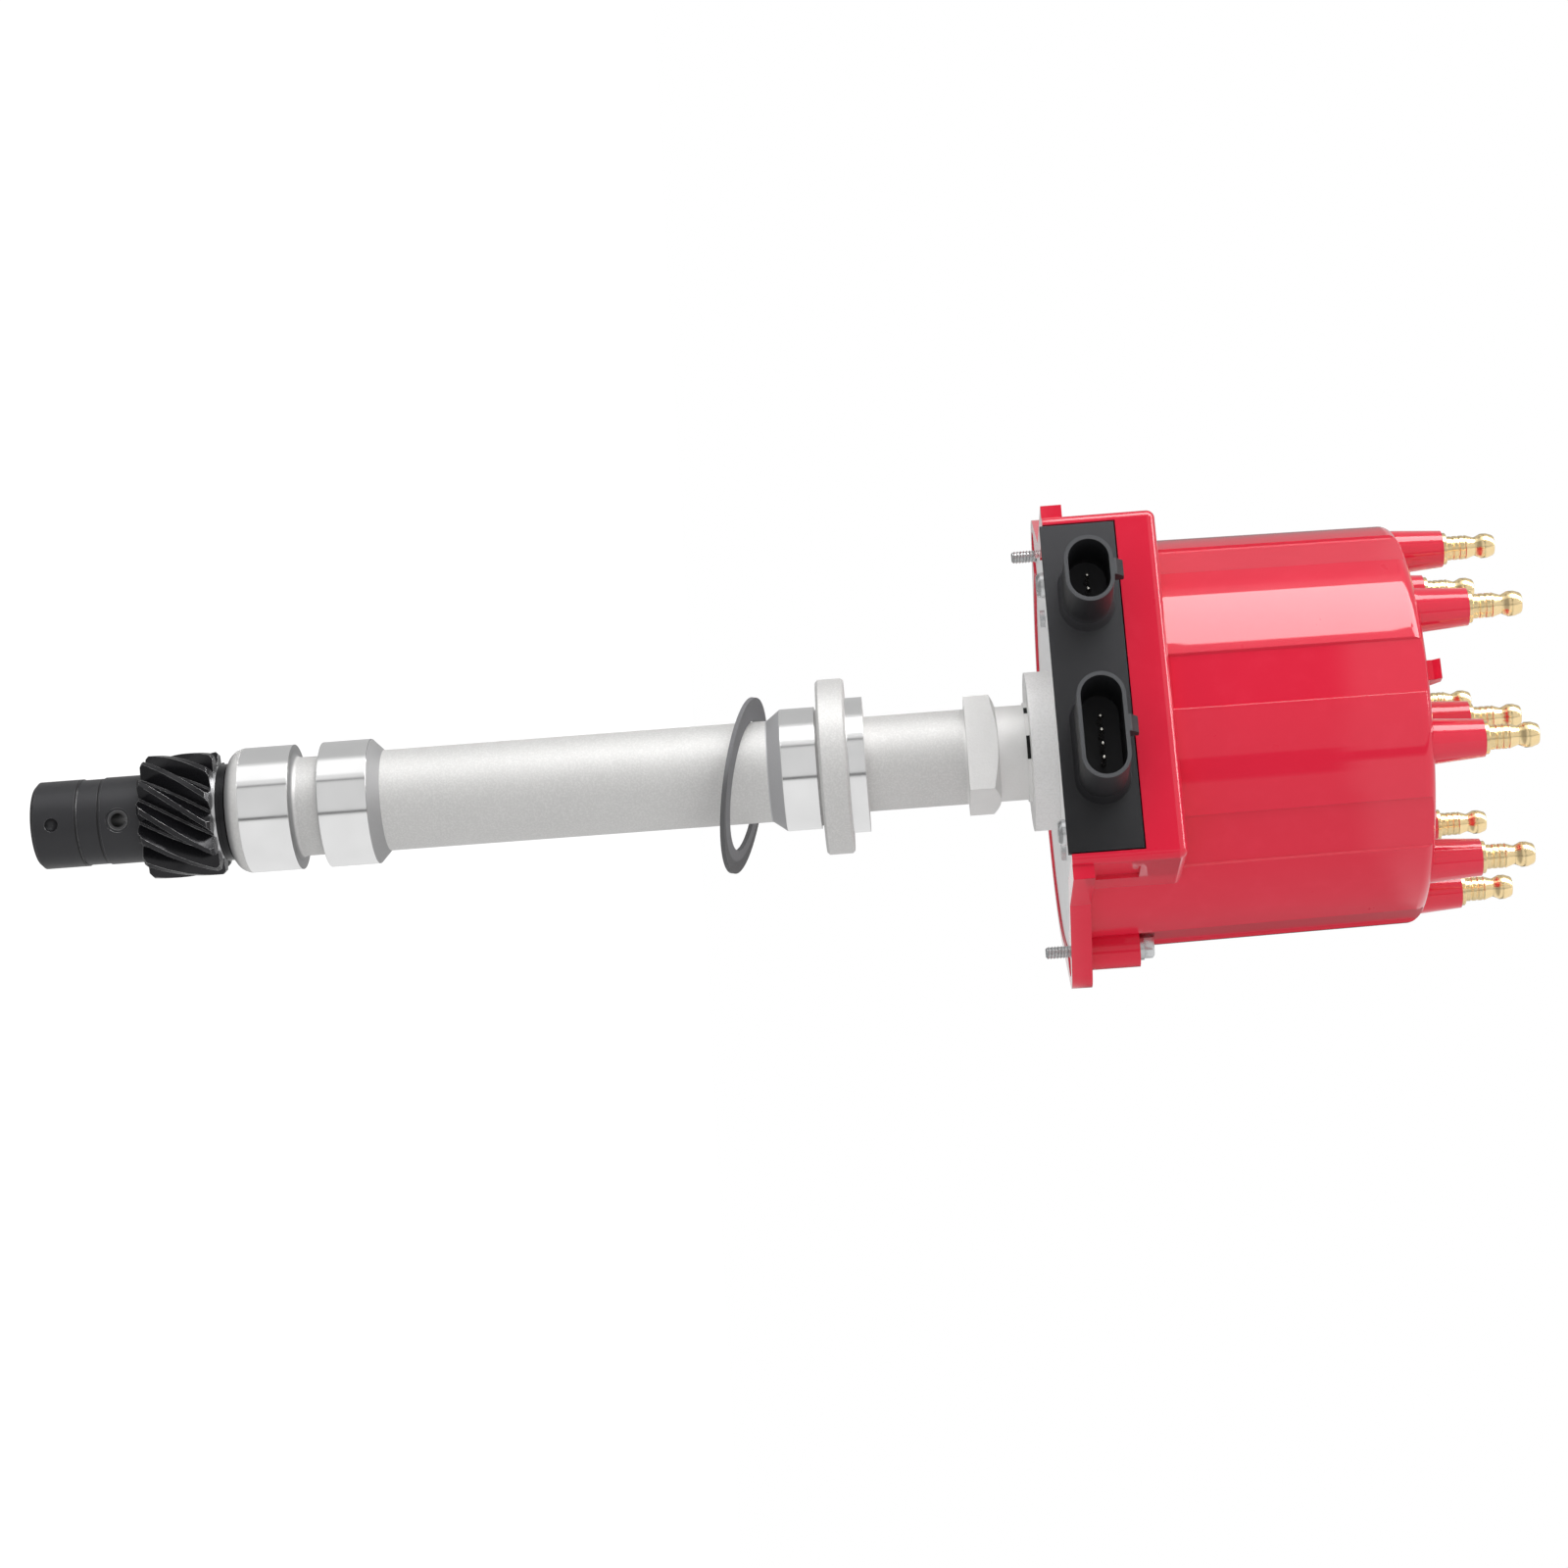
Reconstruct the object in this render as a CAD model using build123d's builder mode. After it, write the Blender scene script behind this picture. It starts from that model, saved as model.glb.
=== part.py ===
from build123d import *
from math import cos, degrees, radians, sin, sqrt, tan
import os

os.makedirs("parts", exist_ok=True)

# Ignition distributor for a V8 engine, with its coil mounted elsewhere. Millimetres.
# Z runs up the shaft to the cap, and the origin is the centre of the mounting flange's underside.
# The ignition module faces -Y, and the two cap screws stand at +X and -X.

# Fits and clearances
running_gap = 0.03  # shaft in its bushings, on the radius
seat_gap = 0.02  # between pieces that are pressed or screwed together
moving_gap = 0.3  # between pieces that pass each other
air_gap = 0.5  # between the core's teeth and the pole piece's

# Shaft and bushings
shaft_radius = 6.225
shaft_chamfer = 0.6
bushing_wall = 2.5
lower_bushing_length = 20.0
upper_bushing_length = 14.0
bore_relief = 1.2  # how much wider the housing's bore is than the shaft
seal_thickness = 3.0

# Housing below the flange, from the flange down
pilot_radius = 15.6
pilot_length = 9.6
corner_relief = 0.8  # how deep the corner between pilot and flange is relieved
face_relief = 0.4
cone_length = 3.5
tube_radius = 12.95
tube_length = 98.4
band_taper = 3.0
band_radius = 16.05
upper_band_length = 12.4
groove_length = 7.5
groove_depth = 3.35
groove_fillet = 1.5
lower_band_length = 12.7
nose_radius = 12.5
nose_length = 4.1
nose_fullness = 0.26

# Housing above the flange, from the flange up
flange_radius = 22.375
flange_thickness = 7.1
flange_chamfer = 0.6
step_radius = 17.25
step_height = 4.4
neck_radius = 12.1
neck_below_collar = 25.6
square_side = 24.6
square_height = 7.9
square_slope = 1.7  # how far the collar's upper corners fall away
neck_above_collar = 8.0
top_collar_radius = 20.25
top_collar_height = 6.3
collar_foot_radius = 12.7  # thin turned ring under the top collar
collar_foot_height = 0.9
post_radius = 11.0
post_height = 18.7

# Drive gear
gear_teeth = 13
gear_tip_radius = 15.85
gear_tooth_depth = 3.5
gear_face = 18.5
gear_helix = 36.5  # degrees at the tips, right hand
gear_end_chamfer = 0.8
tip_width = 1.2
root_width = 5.2
flank_fullness = 0.15
tooth_overrun = 0.3  # how far a tooth's outline runs past the root and the tips
hub_radius = 11.2
hub_length = 28.5
hub_edge = 1.0
hub_band_depth = 0.25
hub_band_height = 6.0
hub_band_drop = 10.4  # from the teeth down to the shallow band
roll_pin_radius = 2.5
roll_pin_wall = 0.8
roll_pin_drop = 5.9  # from the teeth down to the pin
pin_sink_radius = 3.1
pin_direction = -74.0  # degrees round the shaft from +X
dimple_radius = 1.75
dimple_drop = 22.9
slot_width = 6.4
slot_depth = 9.5
shaft_end_recess = 1.0

# Washers between gear and housing
washer_radius = 12.4
shim_thickness = 0.9
thrust_thickness = 1.1
end_float = 0.3

# Base plate and what it carries
plate_thickness = 1.1
plate_margin = 1.5  # how far the plate stays inside the cap's body
plate_ear_radius = 6.0
cap_screw_stand = 1.1  # how far outside the cap's body its screws stand
bracket_thickness = 1.2
bracket_radius = 25.0
rivet_spacing = 61.0
rivet_line = 14.5  # how far in front of the shaft the rivets stand
rivet_radius = 1.5
rivet_head_radius = 2.2
rivet_head = 1.2
rivet_head_slope = 20
magnet_radius = 24.0
magnet_height = 6.6
coil_radius = 22.5
coil_height = 6.0
pole_thickness = 1.6
pole_wall = 2.6
pole_tooth_width = 4.2
pole_tooth_depth = 3.0
clip_thickness = 1.0
clip_radius = 13.0
clip_groove = 1.0
lead_radius = 1.6

# Timer core and rotor
core_teeth = 8
core_tip_radius = 15.0
core_tooth_depth = 5.0
core_tooth_width = 4.0
core_height = 7.0
core_clearance = 1.0
carrier_radius = 20.0
carrier_thickness = 2.0
rotor_base_radius = 22.0
rotor_base_height = 5.0
rotor_base_edge = 1.0
rotor_foot_radius = 11.5
rotor_column_radius = 8.6
rotor_arm_thickness = 5.0
rotor_arm_width = 16.0
rotor_arm_inset = 8.5  # from the terminals' circle to the end of the arm
rotor_screw_spacing = 32.0
rotor_screw_radius = 2.0
rotor_screw_head_radius = 3.6
rotor_screw_head = 2.4
rotor_socket_depth = 4.0
rotor_turn = 22.5
blade_width = 8.0
blade_thickness = 1.2
spark_gap = 0.9
contact_width = 5.0
contact_rise = 3.2
contact_thickness = 0.8

# Cap
rim_drop = 0.7  # how far the rim hangs below the base plate
rim_height = 5.1
rim_overhang = 1.5  # how far the rim stands out from the body
ear_radius = 9.3
body_radius = 51.5
body_height = 88.8  # from the rim's underside to the flat top
body_draft = 0.8
body_edge = 3.0
cap_wall = 3.6
cap_top = 5.0
tower_count = 8
tower_first = 22.5
tower_inset = 8.0  # from the body's side to the towers' middles
tower_base_radius = 5.5
tower_tip_radius = 4.6
tower_height = 12.4
coil_tower_height = 16.9
strip_width = 14.6  # recessed strips between the towers
strip_bevel = 0.7
strip_depth = 1.1
socket_boss_radius = 5.2
brush_boss_radius = 6.0
brush_boss_height = 13.0
brush_hang = 16.7  # from the cap's inner roof down to the brush's tip
boss_radius = 5.0
boss_height = 12.4
screw_pocket_radius = 4.4
tab_width = 5.0
tab_height = 3.6
tab_length = 6.0
tab_lip = 1.0
tab_inset = 7.0

# Module box on the front of the cap
box_stand = 1.8  # how far the module box stands in front of the body
box_half_width = 43.6
box_height = 27.3
box_edge = 2.0
box_wall = 3.0
rim_lip = 3.3
side_recess_length = 10.5
side_recess_height = 10.4
side_recess_depth = 1.0
side_recess_front = 6.8
side_recess_rise = 0.9

# Ignition module
module_half_width = 40.9
module_height = 17.9
module_hang = 1.4  # how far its face hangs below the base plate
module_gap = 0.3
face_thickness = 2.0
module_depth = 21.0
heat_plate_thickness = 2.0
body_inset = 3.0
shroud_depth = 20.0
shroud_height = 11.5
shroud_wall = 0.95
shroud_foot = 3.0
shroud_foot_flare = 0.9
shroud_foot_slope = 15
small_shroud_width = 16.3
small_shroud_contacts = 2
small_shroud_x = -22.4
large_shroud_width = 25.8
large_shroud_contacts = 4
large_shroud_x = 16.0
shroud_rise = 9.7  # from the face's lower edge to the sockets' centre line
socket_depth = 16.5
contact_pitch = 3.4
contact_radius = 0.55
contact_reach = 9.0
lock_width = 4.0
lock_length = 4.5
lock_height = 2.3
module_screw_spacing = 63.0
module_screw_inset = 6.7  # from the module's back edge
module_screw_radius = 2.0
module_screw_head_radius = 3.2
module_screw_head = 2.6

# Cap screws
cap_screw_radius = 1.6
cap_screw_below_rim = 5.8
cap_washer_radius = 3.4
cap_washer_thickness = 1.1
cap_screw_hex = 5.4  # across flats
cap_screw_head = 2.6

# Terminals, carbon brush and its spring
terminal_collar_radius = 4.0
terminal_collar = 1.1
terminal_barrel_radius = 3.0
terminal_barrel = 5.6
terminal_waist_radius = 2.4
terminal_waist = 1.8
terminal_bulb_radius = 3.12
terminal_tip_radius = 2.45
terminal_bulb = 4.6
stud_radius = 2.2
electrode_radius = 3.2
electrode_drop = 25.0  # below the cap's inner roof
coil_foot = 1.5  # height of the centre terminal's foot, inside the brush's bore
brush_radius = 2.5
brush_length = 9.0
spring_wire = 0.35
spring_turns = 6

# Gasket that hangs loose on the housing
gasket_outer_radius = 22.65
gasket_inner_radius = 16.75
gasket_thickness = 1.1
gasket_height = -20.0
hang_direction = 16.0  # degrees from +X in which the ring hangs
gasket_lean = 11.0
gasket_tilt = 9.8

# Levels up the housing
cone_top = -pilot_length
tube_top = cone_top - cone_length
tube_bottom = tube_top - tube_length
upper_band_top = tube_bottom - band_taper
groove_floor = band_radius - groove_depth
groove_top = upper_band_top - upper_band_length
groove_bottom = groove_top - groove_length
nose_top = groove_bottom - lower_band_length
housing_bottom = nose_top - nose_length
step_top = flange_thickness + step_height
square_bottom = step_top + neck_below_collar
square_top = square_bottom + square_height
collar_bottom = square_top + neck_above_collar
collar_top = collar_bottom + top_collar_height
plate_top = collar_top + plate_thickness
post_top = collar_top + post_height

# Levels of the shaft's pieces
thrust_top = housing_bottom - end_float
shim_top = thrust_top - 2 * thrust_thickness
gear_top = shim_top - shim_thickness
gear_bottom = gear_top - gear_face
hub_bottom = gear_bottom - hub_length
shaft_bottom = hub_bottom + shaft_end_recess
roll_pin_level = gear_bottom - roll_pin_drop
core_bottom = post_top + core_clearance
core_top = core_bottom + core_height
carrier_top = core_top + carrier_thickness
rotor_base_top = carrier_top + rotor_base_height
shaft_top = carrier_top + rotor_socket_depth

# Levels of the cap
rim_bottom = collar_top - rim_drop
rim_top = rim_bottom + rim_height
cap_flat = rim_bottom + body_height
cap_roof = cap_flat - cap_top
brush_bottom = cap_roof - brush_hang
brush_top = brush_bottom + brush_length
contact_top = brush_bottom - moving_gap
blade_top = contact_top - contact_rise
arm_top = blade_top - blade_thickness
arm_bottom = arm_top - rotor_arm_thickness
tower_tip = cap_flat + tower_height
coil_tower_tip = cap_flat + coil_tower_height
box_top = rim_bottom + box_height
boss_top = rim_top + boss_height

# Places that follow the side of the cap's body
plate_radius = body_radius - plate_margin
rim_radius = body_radius + rim_overhang
cap_screw_spacing = 2 * (body_radius + cap_screw_stand)
tower_pitch_radius = body_radius - tower_inset
box_front = body_radius + box_stand
rotor_arm_reach = tower_pitch_radius - rotor_arm_inset
tab_reach = body_radius - tab_inset

# Levels and places of the pickup and the module
bracket_top = plate_top + bracket_thickness
magnet_top = bracket_top + magnet_height
coil_top = magnet_top + coil_height
pole_top = coil_top + pole_thickness
face_bottom = collar_top - module_hang
face_top = face_bottom + module_height
socket_level = face_bottom + shroud_rise
face_back = -box_front + face_thickness
module_back = face_back + module_depth
heat_plate_top = plate_top + heat_plate_thickness
module_screw_line = module_screw_inset - module_back

bushing_radius = shaft_radius + running_gap + bushing_wall
post_clear_radius = post_radius + seat_gap
electrode_tip = cap_roof - electrode_drop
blade_reach = tower_pitch_radius - electrode_radius - spark_gap
up_the_shaft = (0, 0, 1)
same_size = 0.001


def ring(outer, inner, bottom, height):
    """A plain ring or washer round the shaft's axis."""
    with BuildPart() as made:
        with BuildSketch(Plane.XY.offset(bottom)):
            Circle(outer)
            Circle(inner, mode=Mode.SUBTRACT)
        extrude(amount=height)
    return made.part


def write(piece, name):
    piece.label = name
    export_step(piece, f"parts/{name}.step")


# --- Housing: cast and turned aluminium, from the nose up to the bushing post ---

with BuildPart() as housing:
    with BuildSketch(Plane.XY.offset(square_bottom)):
        Rectangle(square_side, square_side)
    extrude(amount=square_height)
    # the collar's upper corners are turned off to a cone
    with BuildSketch(Plane.XZ):
        with BuildLine():
            corner = square_side / sqrt(2)
            Polyline(
                (0, square_bottom),
                (corner, square_bottom),
                (corner, square_top - square_slope),
                (square_side / 2, square_top),
                (0, square_top),
                close=True,
            )
        make_face()
    revolve(axis=Axis.Z, mode=Mode.INTERSECT)
    with BuildSketch(Plane.XZ):
        with BuildLine():
            Polyline((0, post_top), (0, housing_bottom), (nose_radius, housing_bottom))
            nose_middle = (
                nose_radius + (band_radius - nose_radius) * sin(radians(45)),
                housing_bottom + nose_length * (1 - cos(radians(45))) + nose_fullness,
            )
            ThreePointArc((nose_radius, housing_bottom), nose_middle, (band_radius, nose_top))
            Polyline(
                (band_radius, nose_top),
                (band_radius, groove_bottom),
                (groove_floor, groove_bottom),
                (groove_floor, groove_top),
                (band_radius, groove_top),
                (band_radius, upper_band_top),
                (tube_radius, tube_bottom),
                (tube_radius, tube_top),
                (pilot_radius, cone_top),
                (pilot_radius, -corner_relief),
                (pilot_radius - corner_relief, -corner_relief),
                (pilot_radius - corner_relief, face_relief),
                (pilot_radius + face_relief, face_relief),
                (pilot_radius + face_relief, 0),
                (flange_radius, 0),
                (flange_radius, flange_thickness),
                (step_radius, flange_thickness),
                (step_radius, step_top),
                (neck_radius, step_top),
                (neck_radius, collar_bottom - collar_foot_height),
                (collar_foot_radius, collar_bottom - collar_foot_height),
                (collar_foot_radius, collar_bottom),
                (top_collar_radius, collar_bottom),
                (top_collar_radius, collar_top),
                (post_radius, collar_top),
                (post_radius, post_top),
                (0, post_top),
            )
        make_face()
    revolve(axis=Axis.Z)
    rims = housing.edges().filter_by(GeomType.CIRCLE)
    flange_rims = rims.filter_by(lambda e: abs(e.radius - flange_radius) < same_size)
    chamfer(flange_rims, flange_chamfer)
    inner_corners = rims.filter_by(lambda e: abs(e.radius - groove_floor) < same_size)
    fillet(inner_corners.filter_by_position(Axis.Z, groove_bottom, groove_top), groove_fillet)
    # one bore for the shaft, with a seat for a bushing at each end and for the seal on top
    with BuildSketch(Plane.XY.offset(housing_bottom)):
        Circle(shaft_radius + bore_relief)
    extrude(amount=post_top - housing_bottom, mode=Mode.SUBTRACT)
    with BuildSketch(Plane.XY.offset(housing_bottom)):
        Circle(bushing_radius + seat_gap)
    extrude(amount=lower_bushing_length + seat_gap, mode=Mode.SUBTRACT)
    seat_bottom = post_top - seal_thickness - upper_bushing_length - seat_gap
    with BuildSketch(Plane.XY.offset(seat_bottom)):
        Circle(bushing_radius + seat_gap)
    extrude(until=Until.LAST, mode=Mode.SUBTRACT)
    # groove for the clip that holds the pickup down
    with BuildSketch(Plane.XY.offset(pole_top + seat_gap)):
        Circle(post_radius + clip_groove)
        Circle(post_radius - clip_groove, mode=Mode.SUBTRACT)
    extrude(amount=clip_thickness + 2 * seat_gap, mode=Mode.SUBTRACT)
write(housing.part, "housing")

bushing_bore = shaft_radius + running_gap
lower_bushing = ring(bushing_radius, bushing_bore, housing_bottom, lower_bushing_length)
write(lower_bushing, "lower_bushing")
upper_bushing_bottom = post_top - seal_thickness - upper_bushing_length
upper_bushing = ring(bushing_radius, bushing_bore, upper_bushing_bottom, upper_bushing_length)
write(upper_bushing, "upper_bushing")
seal_bore = shaft_radius + running_gap
upper_seal = ring(bushing_radius, seal_bore, post_top - seal_thickness, seal_thickness)
write(upper_seal, "upper_seal")

# --- Base plate: plated steel, clamped on the housing's collar ---

with BuildPart() as base_plate:
    with BuildSketch(Plane.XY.offset(collar_top)):
        Circle(plate_radius)
        with Locations((-cap_screw_spacing / 2, 0), (cap_screw_spacing / 2, 0)):
            Circle(plate_ear_radius)
        with Locations((0, (face_back + seat_gap) / 2)):
            Rectangle(2 * (module_half_width - body_inset / 2), -face_back - seat_gap)
        Circle(post_clear_radius, mode=Mode.SUBTRACT)
        with GridLocations(cap_screw_spacing, 0, 2, 1):
            Circle(cap_screw_radius + seat_gap, mode=Mode.SUBTRACT)
        with Locations((0, -module_screw_line)):
            with GridLocations(module_screw_spacing, 0, 2, 1):
                Circle(module_screw_radius + seat_gap, mode=Mode.SUBTRACT)
        with Locations((0, -rivet_line)):
            with GridLocations(rivet_spacing, 0, 2, 1):
                Circle(rivet_radius + seat_gap, mode=Mode.SUBTRACT)
    extrude(amount=plate_thickness)
write(base_plate.part, "base_plate")

# --- Pickup: bracket, magnet, coil, pole piece and the clip that holds them ---

with BuildPart() as pickup_bracket:
    with BuildSketch(Plane.XY.offset(plate_top)):
        with BuildSketch(mode=Mode.PRIVATE) as bracket_arms:
            with Locations((-rivet_spacing / 2, -rivet_line), (rivet_spacing / 2, -rivet_line)):
                Circle(2 * rivet_head_radius)
            make_hull()
        Circle(bracket_radius)
        add(bracket_arms.sketch)
        Circle(post_clear_radius, mode=Mode.SUBTRACT)
        with Locations((0, -rivet_line)):
            with GridLocations(rivet_spacing, 0, 2, 1):
                Circle(rivet_radius + seat_gap, mode=Mode.SUBTRACT)
    extrude(amount=bracket_thickness)
write(pickup_bracket.part, "pickup_bracket")

with BuildPart() as plate_rivets:
    with BuildSketch(Plane.XY.offset(collar_top - rivet_head)):
        with Locations((0, -rivet_line)):
            with GridLocations(rivet_spacing, 0, 2, 1):
                Circle(rivet_head_radius)
    extrude(amount=rivet_head)
    with BuildSketch(Plane.XY.offset(collar_top)):
        with Locations((0, -rivet_line)):
            with GridLocations(rivet_spacing, 0, 2, 1):
                Circle(rivet_radius)
    extrude(amount=bracket_top - collar_top)
    with BuildSketch(Plane.XY.offset(bracket_top)):
        with Locations((0, -rivet_line)):
            with GridLocations(rivet_spacing, 0, 2, 1):
                Circle(rivet_head_radius)
    extrude(amount=rivet_head, taper=rivet_head_slope)
write(plate_rivets.part, "plate_rivets")

magnet_ring = ring(magnet_radius, post_clear_radius, bracket_top, magnet_height)
write(magnet_ring, "magnet_ring")

with BuildPart() as pickup_coil:
    with BuildSketch(Plane.XY.offset(magnet_top)):
        Circle(coil_radius)
        # the block where the lead leaves
        with Locations((0, -coil_radius)):
            Rectangle(4 * lead_radius, 4 * lead_radius)
        Circle(post_clear_radius, mode=Mode.SUBTRACT)
    extrude(amount=coil_height)
write(pickup_coil.part, "pickup_coil")

pole_inner_radius = core_tip_radius + air_gap
pole_outer_radius = pole_inner_radius + pole_tooth_depth + pole_wall
with BuildPart() as pole_piece:
    with BuildSketch(Plane.XY.offset(coil_top)):
        Circle(pole_outer_radius)
        Circle(post_clear_radius, mode=Mode.SUBTRACT)
    extrude(amount=pole_thickness)
    with BuildSketch(Plane.XY.offset(pole_top)):
        Circle(pole_outer_radius)
        Circle(pole_outer_radius - pole_wall, mode=Mode.SUBTRACT)
    extrude(amount=core_top - pole_top)
    with BuildSketch(Plane.XY.offset(core_bottom)):
        tooth_middle = pole_outer_radius - (pole_wall + pole_tooth_depth) / 2
        with PolarLocations(tooth_middle, core_teeth, start_angle=rotor_turn):
            Rectangle(pole_tooth_depth + pole_wall, pole_tooth_width)
        Circle(pole_inner_radius, mode=Mode.SUBTRACT)
        Circle(pole_outer_radius, mode=Mode.INTERSECT)
    extrude(amount=core_height)
write(pole_piece.part, "pole_piece")

with BuildPart() as pickup_clip:
    with BuildSketch(Plane.XY.offset(pole_top + seat_gap)):
        Circle(clip_radius)
        Circle(post_radius - clip_groove + seat_gap, mode=Mode.SUBTRACT)
        with Locations((0, clip_radius)):
            Rectangle(clip_radius, 2 * clip_radius, mode=Mode.SUBTRACT)
    extrude(amount=clip_thickness)
write(pickup_clip.part, "pickup_clip")

# --- Ignition module: heat plate, moulded body with two sockets, contacts and screws ---

with BuildPart() as module_heat_plate:
    with BuildSketch(Plane.XY.offset(plate_top)):
        with Locations((0, (face_back + module_back) / 2)):
            Rectangle(2 * (module_half_width - body_inset), module_depth)
        with Locations((0, -module_screw_line)):
            with GridLocations(module_screw_spacing, 0, 2, 1):
                Circle(module_screw_radius + seat_gap, mode=Mode.SUBTRACT)
    extrude(amount=heat_plate_thickness)
write(module_heat_plate.part, "module_heat_plate")

face_plane = Plane(origin=(0, -box_front, socket_level), x_dir=(1, 0, 0), z_dir=(0, -1, 0))
body_top = face_top - body_inset
shrouds = [
    (small_shroud_x, small_shroud_width, small_shroud_contacts),
    (large_shroud_x, large_shroud_width, large_shroud_contacts),
]
with BuildPart() as ignition_module:
    with BuildSketch(Plane.XY.offset(heat_plate_top)):
        with Locations((0, (face_back + module_back) / 2)):
            Rectangle(2 * (module_half_width - body_inset), module_depth)
    extrude(amount=body_top - heat_plate_top)
    back_edges = ignition_module.edges().filter_by(Axis.Z).group_by(Axis.Y)[-1]
    fillet(back_edges, body_inset)
    with BuildSketch(Plane.XZ.offset(-face_back)):
        with Locations((0, (face_bottom + face_top) / 2)):
            Rectangle(2 * module_half_width, module_height)
    extrude(amount=face_thickness)
    for shroud_x, shroud_width, contacts in shrouds:
        with BuildSketch(face_plane):
            with Locations((shroud_x, 0)):
                SlotOverall(shroud_width + 2 * shroud_foot_flare, shroud_height + 2 * shroud_foot_flare)
        extrude(amount=shroud_foot, taper=shroud_foot_slope)
        with BuildSketch(face_plane):
            with Locations((shroud_x, 0)):
                SlotOverall(shroud_width, shroud_height)
        extrude(amount=shroud_depth)
        # wedge that the harness plug's latch snaps over
        lock_plane = Plane(
            origin=(shroud_x + lock_width / 2, -box_front, socket_level),
            x_dir=(0, -1, 0),
            z_dir=(-1, 0, 0),
        )
        with BuildSketch(lock_plane):
            with BuildLine():
                lock_foot = shroud_height / 2 - shroud_wall / 2
                lock_top = shroud_height / 2 + lock_height
                Polyline(
                    (shroud_depth, lock_foot),
                    (shroud_depth - lock_length, lock_foot),
                    (shroud_depth - lock_length, lock_top),
                    (shroud_depth - lock_length / 2, lock_top),
                    (shroud_depth, lock_foot + shroud_wall),
                    close=True,
                )
            make_face()
        extrude(amount=lock_width)
    for shroud_x, shroud_width, contacts in shrouds:
        with BuildSketch(face_plane.offset(shroud_depth)):
            with Locations((shroud_x, 0)):
                SlotOverall(shroud_width - 2 * shroud_wall, shroud_height - 2 * shroud_wall)
        extrude(amount=-socket_depth, mode=Mode.SUBTRACT)
        # holes that seat the contacts
        with BuildSketch(face_plane.offset(shroud_depth - socket_depth)):
            with Locations((shroud_x, 0)):
                with GridLocations(contact_pitch, 0, contacts, 1):
                    Circle(contact_radius + seat_gap)
        extrude(amount=-2 * shroud_wall, mode=Mode.SUBTRACT)
    # blind threads for the two screws that come up through the base plate
    with BuildSketch(Plane.XY.offset(heat_plate_top)):
        with Locations((0, -module_screw_line)):
            with GridLocations(module_screw_spacing, 0, 2, 1):
                Circle(module_screw_radius + seat_gap)
    extrude(amount=2 * module_screw_head, mode=Mode.SUBTRACT)
write(ignition_module.part, "ignition_module")

for (shroud_x, shroud_width, contacts), name in zip(shrouds, ("two_way_contacts", "four_way_contacts")):
    with BuildPart() as socket_contacts:
        with BuildSketch(face_plane.offset(shroud_depth - socket_depth - 2 * shroud_wall)):
            with Locations((shroud_x, 0)):
                with GridLocations(contact_pitch, 0, contacts, 1):
                    Circle(contact_radius)
        extrude(amount=contact_reach)
    write(socket_contacts.part, name)

with BuildPart() as module_screws:
    with BuildSketch(Plane.XY.offset(collar_top - module_screw_head)):
        with Locations((0, -module_screw_line)):
            with GridLocations(module_screw_spacing, 0, 2, 1):
                Circle(module_screw_head_radius)
    extrude(amount=module_screw_head)
    with BuildSketch(Plane.XY.offset(collar_top)):
        with Locations((0, -module_screw_line)):
            with GridLocations(module_screw_spacing, 0, 2, 1):
                Circle(module_screw_radius)
    extrude(amount=heat_plate_top - collar_top + module_screw_head)
write(module_screws.part, "module_screws")

with BuildPart() as pickup_lead:
    lead_level = magnet_top + coil_height / 2
    with BuildSketch(Plane.XZ.offset(coil_radius + 2 * lead_radius)):
        with Locations((0, lead_level)):
            Circle(lead_radius)
    extrude(amount=-module_back - coil_radius - 2 * lead_radius)
write(pickup_lead.part, "pickup_lead")

# --- Shaft, drive gear, roll pin and washers ---

pin_plane = Plane(
    origin=(0, 0, roll_pin_level),
    x_dir=up_the_shaft,
    z_dir=(cos(radians(pin_direction)), sin(radians(pin_direction)), 0),
)

with BuildPart() as main_shaft:
    with BuildSketch(Plane.XY.offset(shaft_bottom)):
        Circle(shaft_radius)
    extrude(amount=shaft_top - shaft_bottom)
    chamfer(main_shaft.edges().filter_by(GeomType.CIRCLE), shaft_chamfer)
    # slot that takes the tang of the oil pump's drive
    with BuildSketch(Plane.XY.offset(shaft_bottom)):
        Rectangle(4 * shaft_radius, slot_width)
    extrude(amount=slot_depth, mode=Mode.SUBTRACT)
    with BuildSketch(pin_plane):
        Circle(roll_pin_radius + seat_gap)
    extrude(amount=shaft_radius, both=True, mode=Mode.SUBTRACT)
write(main_shaft.part, "main_shaft")

gear_root_radius = gear_tip_radius - gear_tooth_depth
tooth_twist = degrees(gear_face * tan(radians(gear_helix)) / gear_tip_radius)
with BuildSketch() as gear_section:
    Circle(gear_root_radius)
    with BuildSketch(mode=Mode.PRIVATE) as tooth:
        with BuildLine():
            tooth_foot = gear_root_radius - tooth_overrun
            tooth_crest = gear_tip_radius + tooth_overrun
            flank = ((tooth_foot + tooth_crest) / 2, (root_width + tip_width) / 4 + flank_fullness)
            ThreePointArc((tooth_foot, root_width / 2), flank, (tooth_crest, tip_width / 2))
            Line((tooth_crest, tip_width / 2), (tooth_crest, -tip_width / 2))
            ThreePointArc(
                (tooth_crest, -tip_width / 2), (flank[0], -flank[1]), (tooth_foot, -root_width / 2)
            )
            Line((tooth_foot, -root_width / 2), (tooth_foot, root_width / 2))
        make_face()
    with PolarLocations(0, gear_teeth):
        add(tooth.sketch)
twisted_teeth = Solid.extrude_linear_with_rotation(
    gear_section.face(), (0, 0, 0), (0, 0, gear_face), tooth_twist
)

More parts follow.
